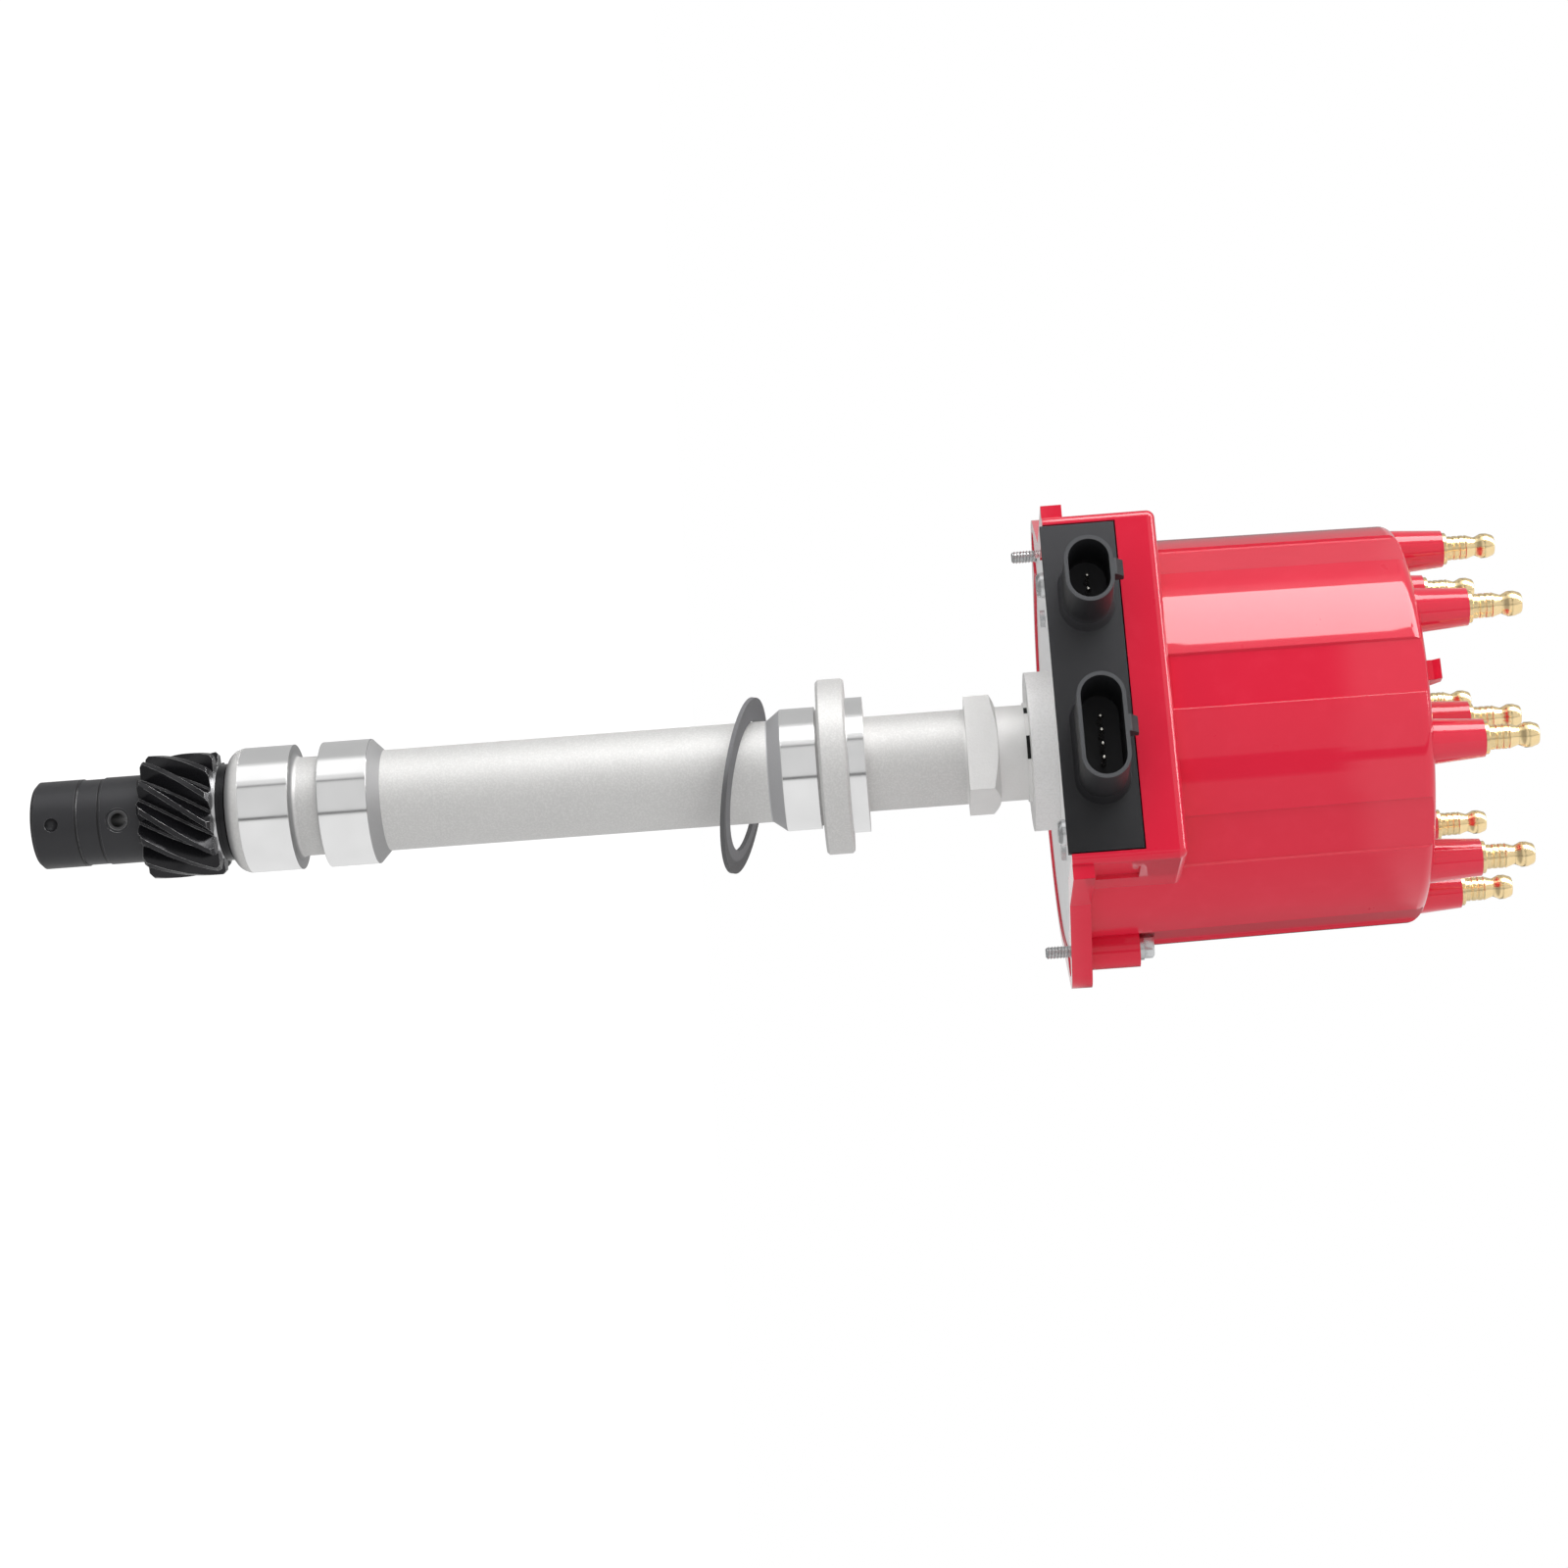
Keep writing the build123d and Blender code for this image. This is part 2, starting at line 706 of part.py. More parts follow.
with BuildPart() as drive_gear:
    with Locations((0, 0, gear_bottom)):
        add(twisted_teeth)
    # the blank the teeth were cut in, with its ends chamfered
    with BuildSketch(Plane.XY.offset(gear_bottom)):
        Circle(gear_tip_radius)
    extrude(amount=gear_face, mode=Mode.INTERSECT)
    with BuildSketch(Plane.XZ):
        for end, side in ((gear_bottom, 1), (gear_top, -1)):
            with BuildLine():
                Polyline(
                    (gear_tip_radius - gear_end_chamfer, end),
                    (gear_tip_radius + gear_end_chamfer, end),
                    (gear_tip_radius + gear_end_chamfer, end + 2 * side * gear_end_chamfer),
                    close=True,
                )
            make_face()
    revolve(axis=Axis.Z, mode=Mode.SUBTRACT)
    with BuildSketch(Plane.XZ):
        with BuildLine():
            band_top = gear_bottom - hub_band_drop
            band_bottom = band_top - hub_band_height
            Polyline(
                (0, hub_bottom),
                (hub_radius - hub_edge, hub_bottom),
                (hub_radius, hub_bottom + hub_edge),
                (hub_radius, band_bottom),
                (hub_radius - hub_band_depth, band_bottom),
                (hub_radius - hub_band_depth, band_top),
                (hub_radius, band_top),
                (hub_radius, gear_bottom + hub_edge),
                (0, gear_bottom + hub_edge),
                close=True,
            )
        make_face()
    revolve(axis=Axis.Z)
    with BuildSketch(Plane.XY.offset(hub_bottom)):
        Circle(shaft_radius + seat_gap)
    extrude(amount=gear_top - hub_bottom, mode=Mode.SUBTRACT)
    with BuildSketch(pin_plane):
        Circle(roll_pin_radius + seat_gap)
    extrude(amount=hub_radius, both=True, mode=Mode.SUBTRACT)
    pin_sink = pin_sink_radius - roll_pin_radius
    with BuildSketch(pin_plane.offset(hub_radius - pin_sink)):
        Circle(pin_sink_radius)
    extrude(amount=2 * pin_sink, mode=Mode.SUBTRACT)
    # dimple that marks which way the rotor points
    dimple_plane = Plane(
        origin=(0, 0, gear_bottom - dimple_drop), x_dir=up_the_shaft, z_dir=pin_plane.z_dir
    )
    with Locations(dimple_plane.offset(hub_radius)):
        Sphere(dimple_radius, mode=Mode.SUBTRACT)
write(drive_gear.part, "drive_gear")

with BuildPart() as roll_pin:
    with BuildSketch(pin_plane):
        Circle(roll_pin_radius)
        Circle(roll_pin_radius - roll_pin_wall, mode=Mode.SUBTRACT)
        with Locations((roll_pin_radius, 0)):
            Rectangle(2 * roll_pin_radius, roll_pin_wall, mode=Mode.SUBTRACT)
    extrude(amount=hub_radius - pin_sink, both=True)
write(roll_pin.part, "roll_pin")

washer_bore = shaft_radius + 2 * running_gap
shim_washer = ring(washer_radius, washer_bore, gear_top, shim_thickness)
write(shim_washer, "shim_washer")
for number, name in enumerate(("lower_thrust_washer", "upper_thrust_washer")):
    washer_bottom = shim_top + number * thrust_thickness
    thrust_washer = ring(washer_radius, washer_bore, washer_bottom, thrust_thickness)
    write(thrust_washer, name)

# --- Timer core, rotor carrier and rotor on the shaft's upper end ---

with BuildPart() as timer_core:
    with BuildSketch(Plane.XY.offset(core_bottom)):
        Circle(core_tip_radius - core_tooth_depth)
        with PolarLocations(core_tip_radius - core_tooth_depth, core_teeth, start_angle=rotor_turn):
            Rectangle(2 * core_tooth_depth, core_tooth_width)
        Circle(core_tip_radius, mode=Mode.INTERSECT)
        Circle(shaft_radius + seat_gap, mode=Mode.SUBTRACT)
    extrude(amount=core_height)
write(timer_core.part, "timer_core")

turned = (0, 0, rotor_turn)
with BuildPart() as rotor_carrier:
    with BuildSketch(Plane.XY.offset(core_top).rotated(turned)):
        Circle(carrier_radius)
        Circle(shaft_radius + seat_gap, mode=Mode.SUBTRACT)
        with GridLocations(0, rotor_screw_spacing, 1, 2):
            Circle(rotor_screw_radius + seat_gap, mode=Mode.SUBTRACT)
    extrude(amount=carrier_thickness)
write(rotor_carrier.part, "rotor_carrier")

rotor_foot = Plane.XY.offset(carrier_top).rotated(turned)
with BuildPart() as rotor:
    with BuildSketch(rotor_foot):
        Circle(rotor_base_radius)
    extrude(amount=rotor_base_height)
    fillet(rotor.edges().group_by(Axis.Z)[-1], rotor_base_edge)
    with BuildSketch(rotor_foot.offset(rotor_base_height)):
        Circle(rotor_foot_radius)
    with BuildSketch(rotor_foot.offset(arm_bottom - carrier_top)):
        Circle(rotor_column_radius)
    loft()
    with BuildSketch(rotor_foot.offset(arm_bottom - carrier_top)):
        with Locations((rotor_arm_reach - rotor_arm_width / 4, 0)):
            Circle(rotor_arm_width / 4)
        Circle(rotor_arm_width / 2)
        make_hull()
        Circle(rotor_column_radius)
    extrude(amount=rotor_arm_thickness)
    with BuildSketch(rotor_foot):
        Circle(shaft_radius + seat_gap)
    extrude(amount=rotor_socket_depth + seat_gap, mode=Mode.SUBTRACT)
    with BuildSketch(rotor_foot):
        with GridLocations(0, rotor_screw_spacing, 1, 2):
            Circle(rotor_screw_radius + seat_gap)
    extrude(amount=rotor_base_height, mode=Mode.SUBTRACT)
write(rotor.part, "rotor")

with BuildPart() as rotor_screws:
    with BuildSketch(Plane.XY.offset(core_top).rotated(turned)):
        with GridLocations(0, rotor_screw_spacing, 1, 2):
            Circle(rotor_screw_radius)
    extrude(amount=rotor_base_top - core_top)
    with BuildSketch(rotor_foot.offset(rotor_base_height)):
        with GridLocations(0, rotor_screw_spacing, 1, 2):
            Circle(rotor_screw_head_radius)
    extrude(amount=rotor_screw_head)
write(rotor_screws.part, "rotor_screws")

blade_start = -blade_width / 2
with BuildPart() as rotor_blade:
    with BuildSketch(rotor_foot.offset(arm_top - carrier_top)):
        with Locations(((blade_start + blade_reach) / 2, 0)):
            Rectangle(blade_reach - blade_start, blade_width)
    extrude(amount=blade_thickness)
write(rotor_blade.part, "rotor_blade")

contact_side = Plane.XZ.rotated(turned)
with BuildPart() as contact_spring:
    with BuildSketch(contact_side.offset(-contact_width / 2)):
        with BuildLine():
            Polyline(
                (-brush_radius, contact_top),
                (brush_radius, contact_top),
                (4 * brush_radius, blade_top + contact_thickness),
                (6 * brush_radius, blade_top + contact_thickness),
                (6 * brush_radius, blade_top),
                (4 * brush_radius - contact_thickness, blade_top),
                (brush_radius - contact_thickness / 2, contact_top - contact_thickness),
                (-brush_radius, contact_top - contact_thickness),
                close=True,
            )
        make_face()
    extrude(amount=contact_width)
write(contact_spring.part, "contact_spring")

# --- Distributor cap ---

with BuildPart() as module_box:
    with BuildSketch(Plane.XY.offset(rim_bottom)):
        with Locations((0, -box_front / 2)):
            Rectangle(2 * box_half_width, box_front)
    extrude(amount=box_height)
    box_edges = module_box.edges().filter_by_position(Axis.Y, -box_front, -same_size)
    rounded = box_edges.filter_by(Axis.Z) + box_edges.group_by(Axis.Z)[-1]
    fillet(rounded, box_edge)

with BuildPart() as cap:
    with BuildSketch(Plane.XY.offset(rim_bottom)):
        Circle(body_radius)
    extrude(amount=body_height, taper=body_draft)
    fillet(cap.edges().group_by(Axis.Z)[-1], body_edge)
    # strips set back between the towers' broad sides, leaning in with the draft
    for index in range(tower_count):
        strip_turn = index * 360 / tower_count
        lean = Vector(-sin(radians(body_draft)), 0, cos(radians(body_draft)))
        with BuildSketch(Plane.XY.offset(rim_bottom).rotated((0, 0, strip_turn))):
            with BuildLine():
                floor_half = strip_width / 2 - strip_bevel
                floor = body_radius - strip_depth
                side = strip_width / 2
                Polyline(
                    (floor, floor_half),
                    (body_radius, side),
                    (body_radius + strip_depth, side + strip_bevel),
                    (body_radius + strip_depth, -side - strip_bevel),
                    (body_radius, -side),
                    (floor, -floor_half),
                    close=True,
                )
            make_face()
        extrude(amount=body_height, dir=lean.rotate(Axis.Z, strip_turn), mode=Mode.SUBTRACT)
    # towers
    tower_slope = (tower_base_radius - tower_tip_radius) / tower_height
    tower_root = cap_flat - body_edge
    standing = (Align.CENTER, Align.CENTER, Align.MIN)
    with Locations((0, 0, tower_root)):
        tower_length = tower_tip - tower_root
        tower_foot = tower_tip_radius + tower_slope * tower_length
        with PolarLocations(tower_pitch_radius, tower_count, tower_first):
            Cone(tower_foot, tower_tip_radius, tower_length, align=standing)
        coil_tower_length = coil_tower_tip - tower_root
        coil_tower_foot = tower_tip_radius + tower_slope * coil_tower_length
        Cone(coil_tower_foot, tower_tip_radius, coil_tower_length, align=standing)
    # box over the module, and the rim with its two ears
    add(module_box.part)
    with BuildSketch(Plane.XY.offset(rim_bottom)):
        with BuildSketch(mode=Mode.PRIVATE) as ears:
            Circle(rim_radius)
            with GridLocations(cap_screw_spacing, 0, 2, 1):
                Circle(ear_radius)
            make_hull()
        add(ears.sketch)
        with Locations((0, -(box_front - box_edge) / 2)):
            Rectangle(2 * (box_half_width + rim_lip), box_front - box_edge)
    extrude(amount=rim_height)
    # bosses under the screw heads
    with BuildSketch(Plane.XY.offset(rim_top)):
        with GridLocations(cap_screw_spacing, 0, 2, 1):
            Circle(boss_radius)
        Rectangle(cap_screw_spacing, 2 * boss_radius)
    extrude(amount=boss_height)
    # room for the rotor and the pickup
    cavity_radius = body_radius - cap_wall
    with BuildSketch(Plane.XY.offset(plate_top)):
        Circle(cavity_radius)
    extrude(amount=cap_roof - plate_top, taper=body_draft, mode=Mode.SUBTRACT)
    # recess in the rim's underside that the base plate nests in
    with BuildSketch(Plane.XY.offset(rim_bottom)):
        Circle(plate_radius + moving_gap)
        with GridLocations(cap_screw_spacing, 0, 2, 1):
            Circle(plate_ear_radius + moving_gap)
    extrude(amount=plate_top - rim_bottom, mode=Mode.SUBTRACT)
    # bay for the module, and the hollow above it
    bay_depth = box_front - sqrt(cavity_radius**2 - (module_half_width - body_inset) ** 2)
    with BuildSketch(Plane.XY.offset(rim_bottom)):
        with Locations((0, -box_front + bay_depth / 2)):
            Rectangle(2 * (module_half_width + module_gap), bay_depth)
    extrude(amount=face_top + module_gap - rim_bottom, mode=Mode.SUBTRACT)
    with BuildSketch(Plane.XY.offset(plate_top)):
        with Locations((0, -box_front + box_wall + (bay_depth - box_wall) / 2)):
            Rectangle(2 * (box_half_width - box_wall), bay_depth - box_wall)
    extrude(amount=box_top - box_wall - plate_top, mode=Mode.SUBTRACT)
    # shallow recess in each side of the box
    for side in (-1, 1):
        recess_middle = -box_front + side_recess_front + side_recess_length / 2
        with BuildSketch(Plane.XY.offset(rim_top + side_recess_rise)):
            with Locations((side * box_half_width, recess_middle)):
                Rectangle(2 * side_recess_depth, side_recess_length)
        extrude(amount=side_recess_height, mode=Mode.SUBTRACT)
    # insulating bosses inside, under the towers and round the brush
    boss_bottom = cap_roof - brush_boss_height
    with BuildSketch(Plane.XY.offset(boss_bottom)):
        Circle(brush_boss_radius)
        with PolarLocations(tower_pitch_radius, tower_count, tower_first):
            Circle(socket_boss_radius)
        Circle(cavity_radius, mode=Mode.INTERSECT)
    extrude(amount=brush_boss_height)
    # holes for the brush, the terminals and the screws
    with BuildSketch(Plane.XY.offset(boss_bottom)):
        Circle(brush_radius + 2 * running_gap)
    brush_bore_top = cap_roof + cap_top / 4
    extrude(amount=brush_bore_top - boss_bottom, mode=Mode.SUBTRACT)
    with BuildSketch(Plane.XY.offset(boss_bottom)):
        Circle(stud_radius + seat_gap)
        with PolarLocations(tower_pitch_radius, tower_count, tower_first):
            Circle(stud_radius + seat_gap)
    extrude(amount=coil_tower_tip - boss_bottom, mode=Mode.SUBTRACT)
    with BuildSketch(Plane.XY.offset(rim_bottom)):
        with GridLocations(cap_screw_spacing, 0, 2, 1):
            Circle(cap_screw_radius + moving_gap)
    extrude(amount=boss_top - rim_bottom, mode=Mode.SUBTRACT)
    with BuildSketch(Plane.XY.offset(boss_top)):
        with GridLocations(cap_screw_spacing, 0, 2, 1):
            Circle(screw_pocket_radius)
    extrude(amount=cap_washer_thickness + cap_screw_head + moving_gap, mode=Mode.SUBTRACT)
    # hooked tab on the front edge of the top
    with BuildSketch(Plane.YZ.offset(-tab_width / 2)):
        with BuildLine():
            Polyline(
                (-tab_reach, cap_flat - body_edge),
                (-tab_reach, cap_flat + tab_height / 2),
                (-tab_reach - tab_lip, cap_flat + tab_height),
                (-tab_reach + tab_length / 3, cap_flat + tab_height),
                (-tab_reach + tab_length, cap_flat),
                (-tab_reach + tab_length, cap_flat - body_edge),
                close=True,
            )
        make_face()
    extrude(amount=tab_width)
write(cap.part, "cap")

with BuildPart() as cap_washers:
    with BuildSketch(Plane.XY.offset(boss_top)):
        with GridLocations(cap_screw_spacing, 0, 2, 1):
            Circle(cap_washer_radius)
            Circle(cap_screw_radius + seat_gap, mode=Mode.SUBTRACT)
    extrude(amount=cap_washer_thickness)
write(cap_washers.part, "cap_washers")

washer_top = boss_top + cap_washer_thickness
with BuildPart() as cap_screws:
    with BuildSketch(Plane.XY.offset(rim_bottom - cap_screw_below_rim)):
        with GridLocations(cap_screw_spacing, 0, 2, 1):
            Circle(cap_screw_radius)
    extrude(amount=washer_top - rim_bottom + cap_screw_below_rim)
    with BuildSketch(Plane.XY.offset(washer_top)):
        with GridLocations(cap_screw_spacing, 0, 2, 1):
            RegularPolygon(cap_screw_hex / 2, 6, major_radius=False)
    extrude(amount=cap_screw_head)
write(cap_screws.part, "cap_screws")


# --- Brass terminals, one at each tower, and the carbon brush under the middle one ---


def turned_terminal(x, y, shoulder, stud_end, foot_end, foot_radius):
    """A turned terminal that stands on a tower, with its stud and the wider foot at its lower end."""
    with BuildPart() as made:
        with BuildSketch(Plane(origin=(x, y, 0), x_dir=(1, 0, 0), z_dir=(0, -1, 0))):
            with BuildLine():
                barrel_foot = shoulder + terminal_collar
                waist_foot = barrel_foot + terminal_barrel
                bulb_foot = waist_foot + terminal_waist
                crest = bulb_foot + terminal_bulb
                Polyline(
                    (0, foot_end),
                    (foot_radius, foot_end),
                    (foot_radius, stud_end),
                    (stud_radius, stud_end),
                    (stud_radius, shoulder),
                    (terminal_collar_radius, shoulder),
                    (terminal_collar_radius, barrel_foot),
                    (terminal_barrel_radius, barrel_foot),
                    (terminal_barrel_radius, waist_foot),
                    (terminal_waist_radius, waist_foot + terminal_waist / 4),
                    (terminal_waist_radius, bulb_foot - terminal_waist / 4),
                )
                bulb_middle = (terminal_bulb_radius, (bulb_foot + crest) / 2)
                ThreePointArc(
                    (terminal_waist_radius, bulb_foot - terminal_waist / 4),
                    bulb_middle,
                    (terminal_tip_radius, crest),
                )
                Polyline((terminal_tip_radius, crest), (0, crest), (0, foot_end))
            make_face()
        revolve(axis=Axis((x, y, 0), up_the_shaft))
    return made.part


for number in range(tower_count):
    turn = radians(tower_first + number * 360 / tower_count)
    tower_x = tower_pitch_radius * cos(turn)
    tower_y = tower_pitch_radius * sin(turn)
    plug_terminal = turned_terminal(
        tower_x, tower_y, tower_tip, boss_bottom, electrode_tip, electrode_radius
    )
    write(plug_terminal, f"plug_terminal_{number + 1}")

coil_foot_end = brush_bore_top - coil_foot
coil_terminal = turned_terminal(0, 0, coil_tower_tip, brush_bore_top, coil_foot_end, brush_radius)
write(coil_terminal, "coil_terminal")

with BuildPart() as carbon_brush:
    with BuildSketch(Plane.XY.offset(brush_bottom)):
        Circle(brush_radius)
    extrude(amount=brush_length)
    chamfer(carbon_brush.edges().filter_by(GeomType.CIRCLE), brush_radius / 8)
write(carbon_brush.part, "carbon_brush")

spring_foot = brush_top + seat_gap + spring_wire
spring_height = coil_foot_end - seat_gap - spring_wire - spring_foot
with BuildPart() as brush_spring:
    with BuildLine() as spring_line:
        Helix(
            spring_height / spring_turns,
            spring_height,
            brush_radius - spring_wire,
            center=(0, 0, spring_foot),
        )
    with BuildSketch(Plane(origin=spring_line.line @ 0, z_dir=spring_line.line % 0)):
        Circle(spring_wire)
    sweep()
write(brush_spring.part, "brush_spring")

# --- Mounting gasket, hanging loose on the tube ---

lean = radians(gasket_lean)
tilt = radians(gasket_tilt)
hang = radians(hang_direction)
hang_offset = (
    gasket_inner_radius * cos(lean) - gasket_thickness / 2 * sin(lean) - tube_radius - moving_gap
)
down = Vector(cos(hang), sin(hang), 0)
near = Vector(sin(hang), -cos(hang), 0)
slope = down * -tan(lean) - near * tan(tilt)
gasket_plane = Plane(
    origin=down * hang_offset + Vector(0, 0, gasket_height),
    z_dir=(-slope.X, -slope.Y, 1),
)
with BuildPart() as mounting_gasket:
    with BuildSketch(gasket_plane):
        Circle(gasket_outer_radius)
        Circle(gasket_inner_radius, mode=Mode.SUBTRACT)
    extrude(amount=gasket_thickness / 2, both=True)
write(mounting_gasket.part, "mounting_gasket")
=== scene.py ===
import bmesh
import bpy
from math import cos, pi, radians, sin
from mathutils import Matrix, Vector


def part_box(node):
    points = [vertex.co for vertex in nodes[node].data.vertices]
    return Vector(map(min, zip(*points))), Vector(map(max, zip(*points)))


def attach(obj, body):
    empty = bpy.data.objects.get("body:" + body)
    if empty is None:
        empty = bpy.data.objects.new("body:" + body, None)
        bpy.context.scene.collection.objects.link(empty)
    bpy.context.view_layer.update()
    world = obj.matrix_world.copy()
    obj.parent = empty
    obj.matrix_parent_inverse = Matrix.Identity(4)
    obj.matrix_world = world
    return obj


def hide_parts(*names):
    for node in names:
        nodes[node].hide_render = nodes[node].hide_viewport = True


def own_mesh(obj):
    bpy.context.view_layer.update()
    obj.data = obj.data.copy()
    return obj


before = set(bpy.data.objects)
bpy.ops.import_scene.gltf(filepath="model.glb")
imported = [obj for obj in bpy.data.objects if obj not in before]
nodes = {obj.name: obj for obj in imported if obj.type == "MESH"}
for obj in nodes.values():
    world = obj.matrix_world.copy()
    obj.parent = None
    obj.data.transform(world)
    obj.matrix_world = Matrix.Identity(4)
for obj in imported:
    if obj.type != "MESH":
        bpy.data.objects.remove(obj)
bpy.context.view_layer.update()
mm = 0.001
print("frame loaded:", len(nodes), "nodes")


class Wire:  # a socket of a node tree, with arithmetic on it
    def __init__(self, tree, socket=None):
        self.tree, self.socket = tree, socket

    def node(self, kind, settings=None, inputs=None, out=0):
        made = self.tree.nodes.new(kind)
        for name, value in (settings or {}).items():
            if name == "stops":
                stops = made.color_ramp.elements
                stops.remove(stops[1])
                stops[0].position = value[0][0]
                for position, shade in value[1:]:
                    stops.new(position)
                for stop, (position, shade) in zip(stops, value):
                    stop.color = (shade, shade, shade, 1)
            else:
                setattr(made, name, value)
        for name, value in (inputs or {}).items():
            for part in value if isinstance(value, list) else [value]:
                if isinstance(part, Wire):
                    self.tree.links.new(part.socket, made.inputs[name])
                else:
                    made.inputs[name].default_value = part
        return Wire(self.tree, made.outputs[out] if len(made.outputs) else None)

    def math(self, operation, first, second):
        return self.node("ShaderNodeMath", {"operation": operation}, {0: first, 1: second})

    def __add__(self, other):
        return self.math("ADD", self, other)

    def __sub__(self, other):
        return self.math("SUBTRACT", self, other)

    def __mul__(self, other):
        return self.math("MULTIPLY", self, other)

    def __truediv__(self, other):
        return self.math("DIVIDE", self, other)

    def __rsub__(self, other):
        return self.math("SUBTRACT", other, self)

    __radd__ = __add__
    __rmul__ = __mul__


def linked(name, data):  # a new object in the scene
    made = bpy.data.objects.new(name, data)
    bpy.context.scene.collection.objects.link(made)
    return made


def cleared(holder):  # the emptied node tree of a material or a world
    holder.use_nodes = True
    holder.node_tree.nodes.clear()
    return Wire(holder.node_tree)


# shader helpers, all in millimetres of object space

def place(w):
    coordinates = w.node("ShaderNodeTexCoord", out="Object")
    inputs = {0: coordinates, "Scale": 1 / mm}
    return w.node("ShaderNodeVectorMath", {"operation": "SCALE"}, inputs)


def parts(w, vector):
    split = w.node("ShaderNodeSeparateXYZ", None, {0: vector})
    outputs = split.socket.node.outputs
    return [Wire(w.tree, outputs[index]) for index in range(3)]


def joined(w, x, y, z):
    return w.node("ShaderNodeCombineXYZ", None, {0: x, 1: y, 2: z})


def dotted(w, first, second):
    inputs = {0: first, 1: second}
    return w.node("ShaderNodeVectorMath", {"operation": "DOT_PRODUCT"}, inputs, "Value")


def noise(w, vector, scale, detail=2.0, rough=0.5):
    inputs = {"Vector": vector, "Scale": scale, "Detail": detail, "Roughness": rough}
    return w.node("ShaderNodeTexNoise", None, inputs)


def above(w, value, edge, soft=0.05):  # 0 below the edge, 1 above it
    limits = {"Value": value, "From Min": edge - soft, "From Max": edge + soft}
    return w.node("ShaderNodeMapRange", {"interpolation_type": "SMOOTHSTEP"}, limits)


def between(w, value, low, high, soft=0.05):
    return above(w, value, low, soft) * (1 - above(w, value, high, soft))


def spread(w, value, low, high):  # a 0 to 1 value stretched to low to high
    return value * (high - low) + low


def tint(w, factor, first, second):
    colours = [(*c, 1) if isinstance(c, tuple) else c for c in (first, second)]
    inputs = {0: factor, 6: colours[0], 7: colours[1]}
    return w.node("ShaderNodeMix", {"data_type": "RGBA"}, inputs, 2)


def rounded(w, radius):  # a normal that rounds edges off, so they catch light
    return w.node("ShaderNodeBevel", {"samples": 4}, {"Radius": radius * mm})


def edges(w, radius, turn=0.01):  # 1 on the outer edges
    flat = w.node("ShaderNodeNewGeometry", out="Normal")
    along = dotted(w, flat, rounded(w, radius))
    return above(w, 1 - along, turn * 2, turn)


def bumped(w, height, depth, normal=None):
    inputs = {"Height": height, "Strength": 1.0, "Distance": depth * mm}
    if normal:
        inputs["Normal"] = normal
    return w.node("ShaderNodeBump", None, inputs)


def fromAxis(w, x, y):
    return w.math("SQRT", x * x + y * y, 0.0)


def latheLines(w, level, radius, pitch=0.12):  # fine rings that a tool leaves
    return noise(w, joined(w, radius * 0.6, 0.0, level), 1 / pitch, 3.0, 0.6)


def finish(name, paint, **fixed):
    material = bpy.data.materials.new(name)
    w = cleared(material)
    inputs = {key.replace("_", " "): value for key, value in fixed.items()}
    inputs.update(paint(w))
    shader = w.node("ShaderNodeBsdfPrincipled", None, inputs)
    w.node("ShaderNodeOutputMaterial", None, {"Surface": shader})
    return material


def dress(material, *names):
    for name in names:
        slots = nodes[name].material_slots
        if not slots:
            nodes[name].data.materials.append(material)
        for index in range(len(slots)):
            slots[index].material = material


# camera

cameraLook = {
    "azimuth": 16.0,  # degrees round the shaft from the module's side
    "roll": 4.28,
    "swing": 2.08,
    "distance": 0.805,
    "along": 0.0194,  # how far up the shaft it stands
    "sink": 0.00345,
    "lens": 72.43,
}


def setCamera():
    look = cameraLook
    turn, roll, swing = (radians(look[key]) for key in ("azimuth", "roll", "swing"))
    viewer = Vector((sin(turn), -cos(turn), 0))
    lift = Vector((-cos(turn), -sin(turn), 0))
    axis = Vector((0, 0, 1))
    spot = viewer * look["distance"] + axis * look["along"] - lift * look["sink"]
    back = viewer * cos(swing) + axis * sin(swing)
    side = axis * cos(swing) - viewer * sin(swing)
    right = side * cos(roll) - lift * sin(roll)
    up = side * sin(roll) + lift * cos(roll)
    data = bpy.data.cameras.new("camera")
    data.lens, data.sensor_width, data.clip_start = look["lens"], 36.0, 0.01
    camera = linked("camera", data)
    turned = Matrix((right, up, back)).transposed().to_4x4()
    camera.matrix_world = Matrix.Translation(spot) @ turned
    bpy.context.scene.camera = camera
    return viewer, lift


viewer, lift = setCamera()  # towards the camera, and up in its picture

# housing: cast aluminium, with its fits turned bright

housingLook = {
    "turned": [(-147.2, -134.4), (-126.9, -114.4), (-9.6, -0.7), (7.15, 11.45)],
    "turnedColour": (0.82, 0.82, 0.82),
    "turnedRoughness": 0.10,
    "castColour": (0.65, 0.645, 0.635),
    "castRoughness": 0.56,
    "castMetal": 0.5,
    "squareLightColour": (0.83, 0.825, 0.815),  # painted light: the square, above this level, lighter than the cast metal
    "headLevel": 36.6,
    "collarLightColour": (0.93, 0.925, 0.92),  # painted light: the top collar, above this level, lighter than the cast metal
    "collarLevel": 53.0,
    "coneShadeColour": (0.52, 0.52, 0.53),  # painted shade: the cone under the pilot, darker
    "dark": (-13.4, -9.7),
    "endShadeColour": (0.27, 0.27, 0.275),  # painted shade: the bearing bands' end faces, darker
    "endShadeShare": 0.85,
    "endsBelow": -105.0,
    "grain": 0.5,  # size of the cast grain
    "grainDepth": 0.05,
    "grainColour": (0.78, 0.775, 0.765),
    "grainShare": (-0.25, 0.55),
    "stain": (0.55, 0.55, 0.55),
    "stainScale": 0.09,
    "stainShare": (-0.1, 0.3),
    "slots": [(-8, 19), (50, 62)],  # degrees round the foot of the top collar, from the viewer, where dark slots of painted shade lie
    "slotShadeColour": (0.01, 0.01, 0.01),
    "foot": (52.05, 52.98),
    "footRadius": 12.3,
}


